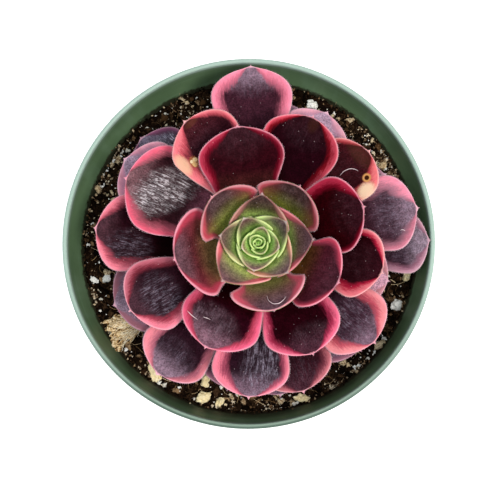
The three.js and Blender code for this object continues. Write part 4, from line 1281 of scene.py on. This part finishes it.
def makeDriedLeaf():
    # papery and tan, shrivelled into ridges that meet at the stalk, with loose strands; the ridges are painted pale,
    # as painted highlight, and the furrows dark, as painted shade
    low, high = (np.array(corner[:]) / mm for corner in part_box("dried_leaf"))
    turn = math.radians(driedLeaf["turn"])
    papery = crumbMaterial("dried leaf, papery", driedLeaf["skin"], roughness=0.85, grainScale=1300.0,
                           bumpSize=0.0006)
    stations, columns = 90, 110
    vertices, faces, shades = [], [], []

    def placeOn(u, v):
        return (driedLeaf["place"][0] + u * math.cos(turn) - v * math.sin(turn),
                driedLeaf["place"][1] + u * math.sin(turn) + v * math.cos(turn))

    def halfAt(along, ragged=1):
        # a fan, broadest near its far end
        blunt = math.sin(math.pi * min(along * 0.62, 0.6) ** 1.1)
        return driedLeaf["width"] / 2 * (0.1 + 0.9 * blunt * ragged)

    def surface(along, across, u, v):
        spread = float(smoothStep(along, 0, 0.35))
        fold = 0.9 * (1 + math.cos(across * 5 + along * 2)) * spread
        arch = 2.2 * (1 - across * across) * math.sin(math.pi * along)
        bent = Vector((u * 0.35, v * 0.35, 1))
        across += 0.3 * noise.noise(bent) + 0.12 * noise.noise(bent * 3)
        ridge = 1.1 - 2.4 * abs(noise.noise(Vector((across * 9, along * 2.2, 4))))
        ridge += 0.6 * noise.noise(Vector((u * 1.3, v * 2.2, 5)))
        ridge -= 0.4 * abs(noise.noise(Vector((u * 2.6, v * 2.6, 9))))
        height = low[2] + 0.3 + fold + arch + driedLeaf["ridgeHeight"] * ridge * (0.3 + 0.7 * spread)
        return min(height, high[2] - 0.25), ridge

    for sign in (1, -1):
        for station in range(stations + 1):
            along = station / stations
            for column in range(columns + 1):
                across = 2 * column / columns - 1
                ragged = 1 + 0.35 * noise.noise(Vector((along * 5, 2 * across, 8))) * abs(across)
                u = (along - 0.55 + 0.14 * noise.noise(Vector((across * 4, along, 3))) * along) * driedLeaf["length"]
                v = across * halfAt(along, ragged)
                z, ridge = surface(along, across, u, v)
                vertices.append((*placeOn(u, v), z + 0.2 * sign))
                # the ridges are painted pale and the furrows dark, as painted highlight and painted shade
                shades.append(0.1 + 0.6 * ridge)
    layer = (stations + 1) * (columns + 1)
    for station in range(stations):
        for column in range(columns):
            a = station * (columns + 1) + column
            faces.append((a, a + columns + 1, a + columns + 2, a + 1))
            faces.append((layer + a, layer + a + 1, layer + a + columns + 2, layer + a + columns + 1))
    border = ([k * (columns + 1) for k in range(stations)] + [stations * (columns + 1) + k for k in range(columns)]
              + [k * (columns + 1) + columns for k in range(stations, 0, -1)] + list(range(columns, 0, -1)))
    for a, b in zip(border, border[1:] + border[:1]):
        faces.append((a, layer + a, layer + b, b))
    # loose strands over it, fanned from the stalk
    dice, parts = random.Random(driedLeaf["seed"]), [(vertices, faces, shades)]
    for _ in range(driedLeaf["strands"]):
        first, reach, across = dice.uniform(0.02, 0.6), dice.uniform(0.2, 0.4), dice.uniform(-0.85, 0.85)
        swerve, points = dice.uniform(-0.5, 0.5), []
        for step in range(8):
            along = first + reach * step / 7
            side = across + swerve * (step / 7) ** 1.5
            u, v = (along - 0.55) * driedLeaf["length"], side * halfAt(along)
            z, ridge = surface(along, side, u, v)
            points.append((*placeOn(u, v), min(z + 0.45 + 0.5 * math.sin(step / 7 * math.pi), high[2])))
        parts.append((*tubeAlong(points, np.linspace(0.16, 0.07, len(points))), dice.uniform(0.35, 1.0)))
    vertices, faces, shades = joined(parts)
    piece = makeObject("driedLeaf", vertices, faces, [papery], values=shades)
    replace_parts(piece, "dried_leaf")


makeDriedLeaf()
print("dried leaf made")


# floor and light

studio = {
    "floor": "#fafafa",
    "floorGlow": 0.8,          # lifts the paper to white, as in an overexposed backdrop
    "floorReach": 3,           # in metres
    "world": "#eef3f7",
    "worldStrength": 0.4,
    # place, size, power, colour
    "keyLight": ((0.36, -0.24, 0.85), 0.3, 4.8, "#fffaf4"),
    "topLight": ((-0.15, -0.05, 0.95), 0.5, 2.8, "#f6fbff"),
    "lightsAim": (0, 0, 0.1),
}


def softLight(name, place, size, power, colour):
    data = bpy.data.lights.new(name, "AREA")
    data.shape, data.size, data.energy = "DISK", size, power
    data.color = linearColour(colour)[:3]
    lamp = bpy.data.objects.new(name, data)
    lamp.location = place
    lamp.rotation_euler = (Vector(studio["lightsAim"]) - Vector(place)).to_track_quat("-Z", "Y").to_euler()
    scene.collection.objects.link(lamp)


def makeStudio():
    # white paper: matt, with fibres of 1 mm
    paper, add = newMaterial("floor, white paper")
    white, far = linearColour(studio["floor"]), studio["floorReach"]
    fibre = add("TexNoise", {"Vector": add("NewGeometry"), "Scale": 900.0, "Detail": 2.0})
    bump = add("Bump", {"Height": fibre, "Strength": 0.03, "Distance": 0.0002})
    add("OutputMaterial", add("BsdfPrincipled", {
        "Base Color": white, "Roughness": 0.9, "Emission Color": white, "Emission Strength": studio["floorGlow"],
        "Normal": bump}))
    mesh = bpy.data.meshes.new("floor")
    mesh.from_pydata([(-far, -far, 0), (far, -far, 0), (far, far, 0), (-far, far, 0)], [], [(0, 1, 2, 3)])
    mesh.materials.append(paper)
    floor = bpy.data.objects.new("floor", mesh)
    scene.collection.objects.link(floor)
    world = bpy.data.worlds.new("studio")
    world.use_nodes = True
    sky = world.node_tree.nodes["Background"]
    sky.inputs["Color"].default_value = linearColour(studio["world"])
    sky.inputs["Strength"].default_value = studio["worldStrength"]
    scene.world = world
    for name in ("keyLight", "topLight"):
        softLight(name, *studio[name])
    scene.view_settings.view_transform = "Standard"


makeStudio()
print("studio lit")
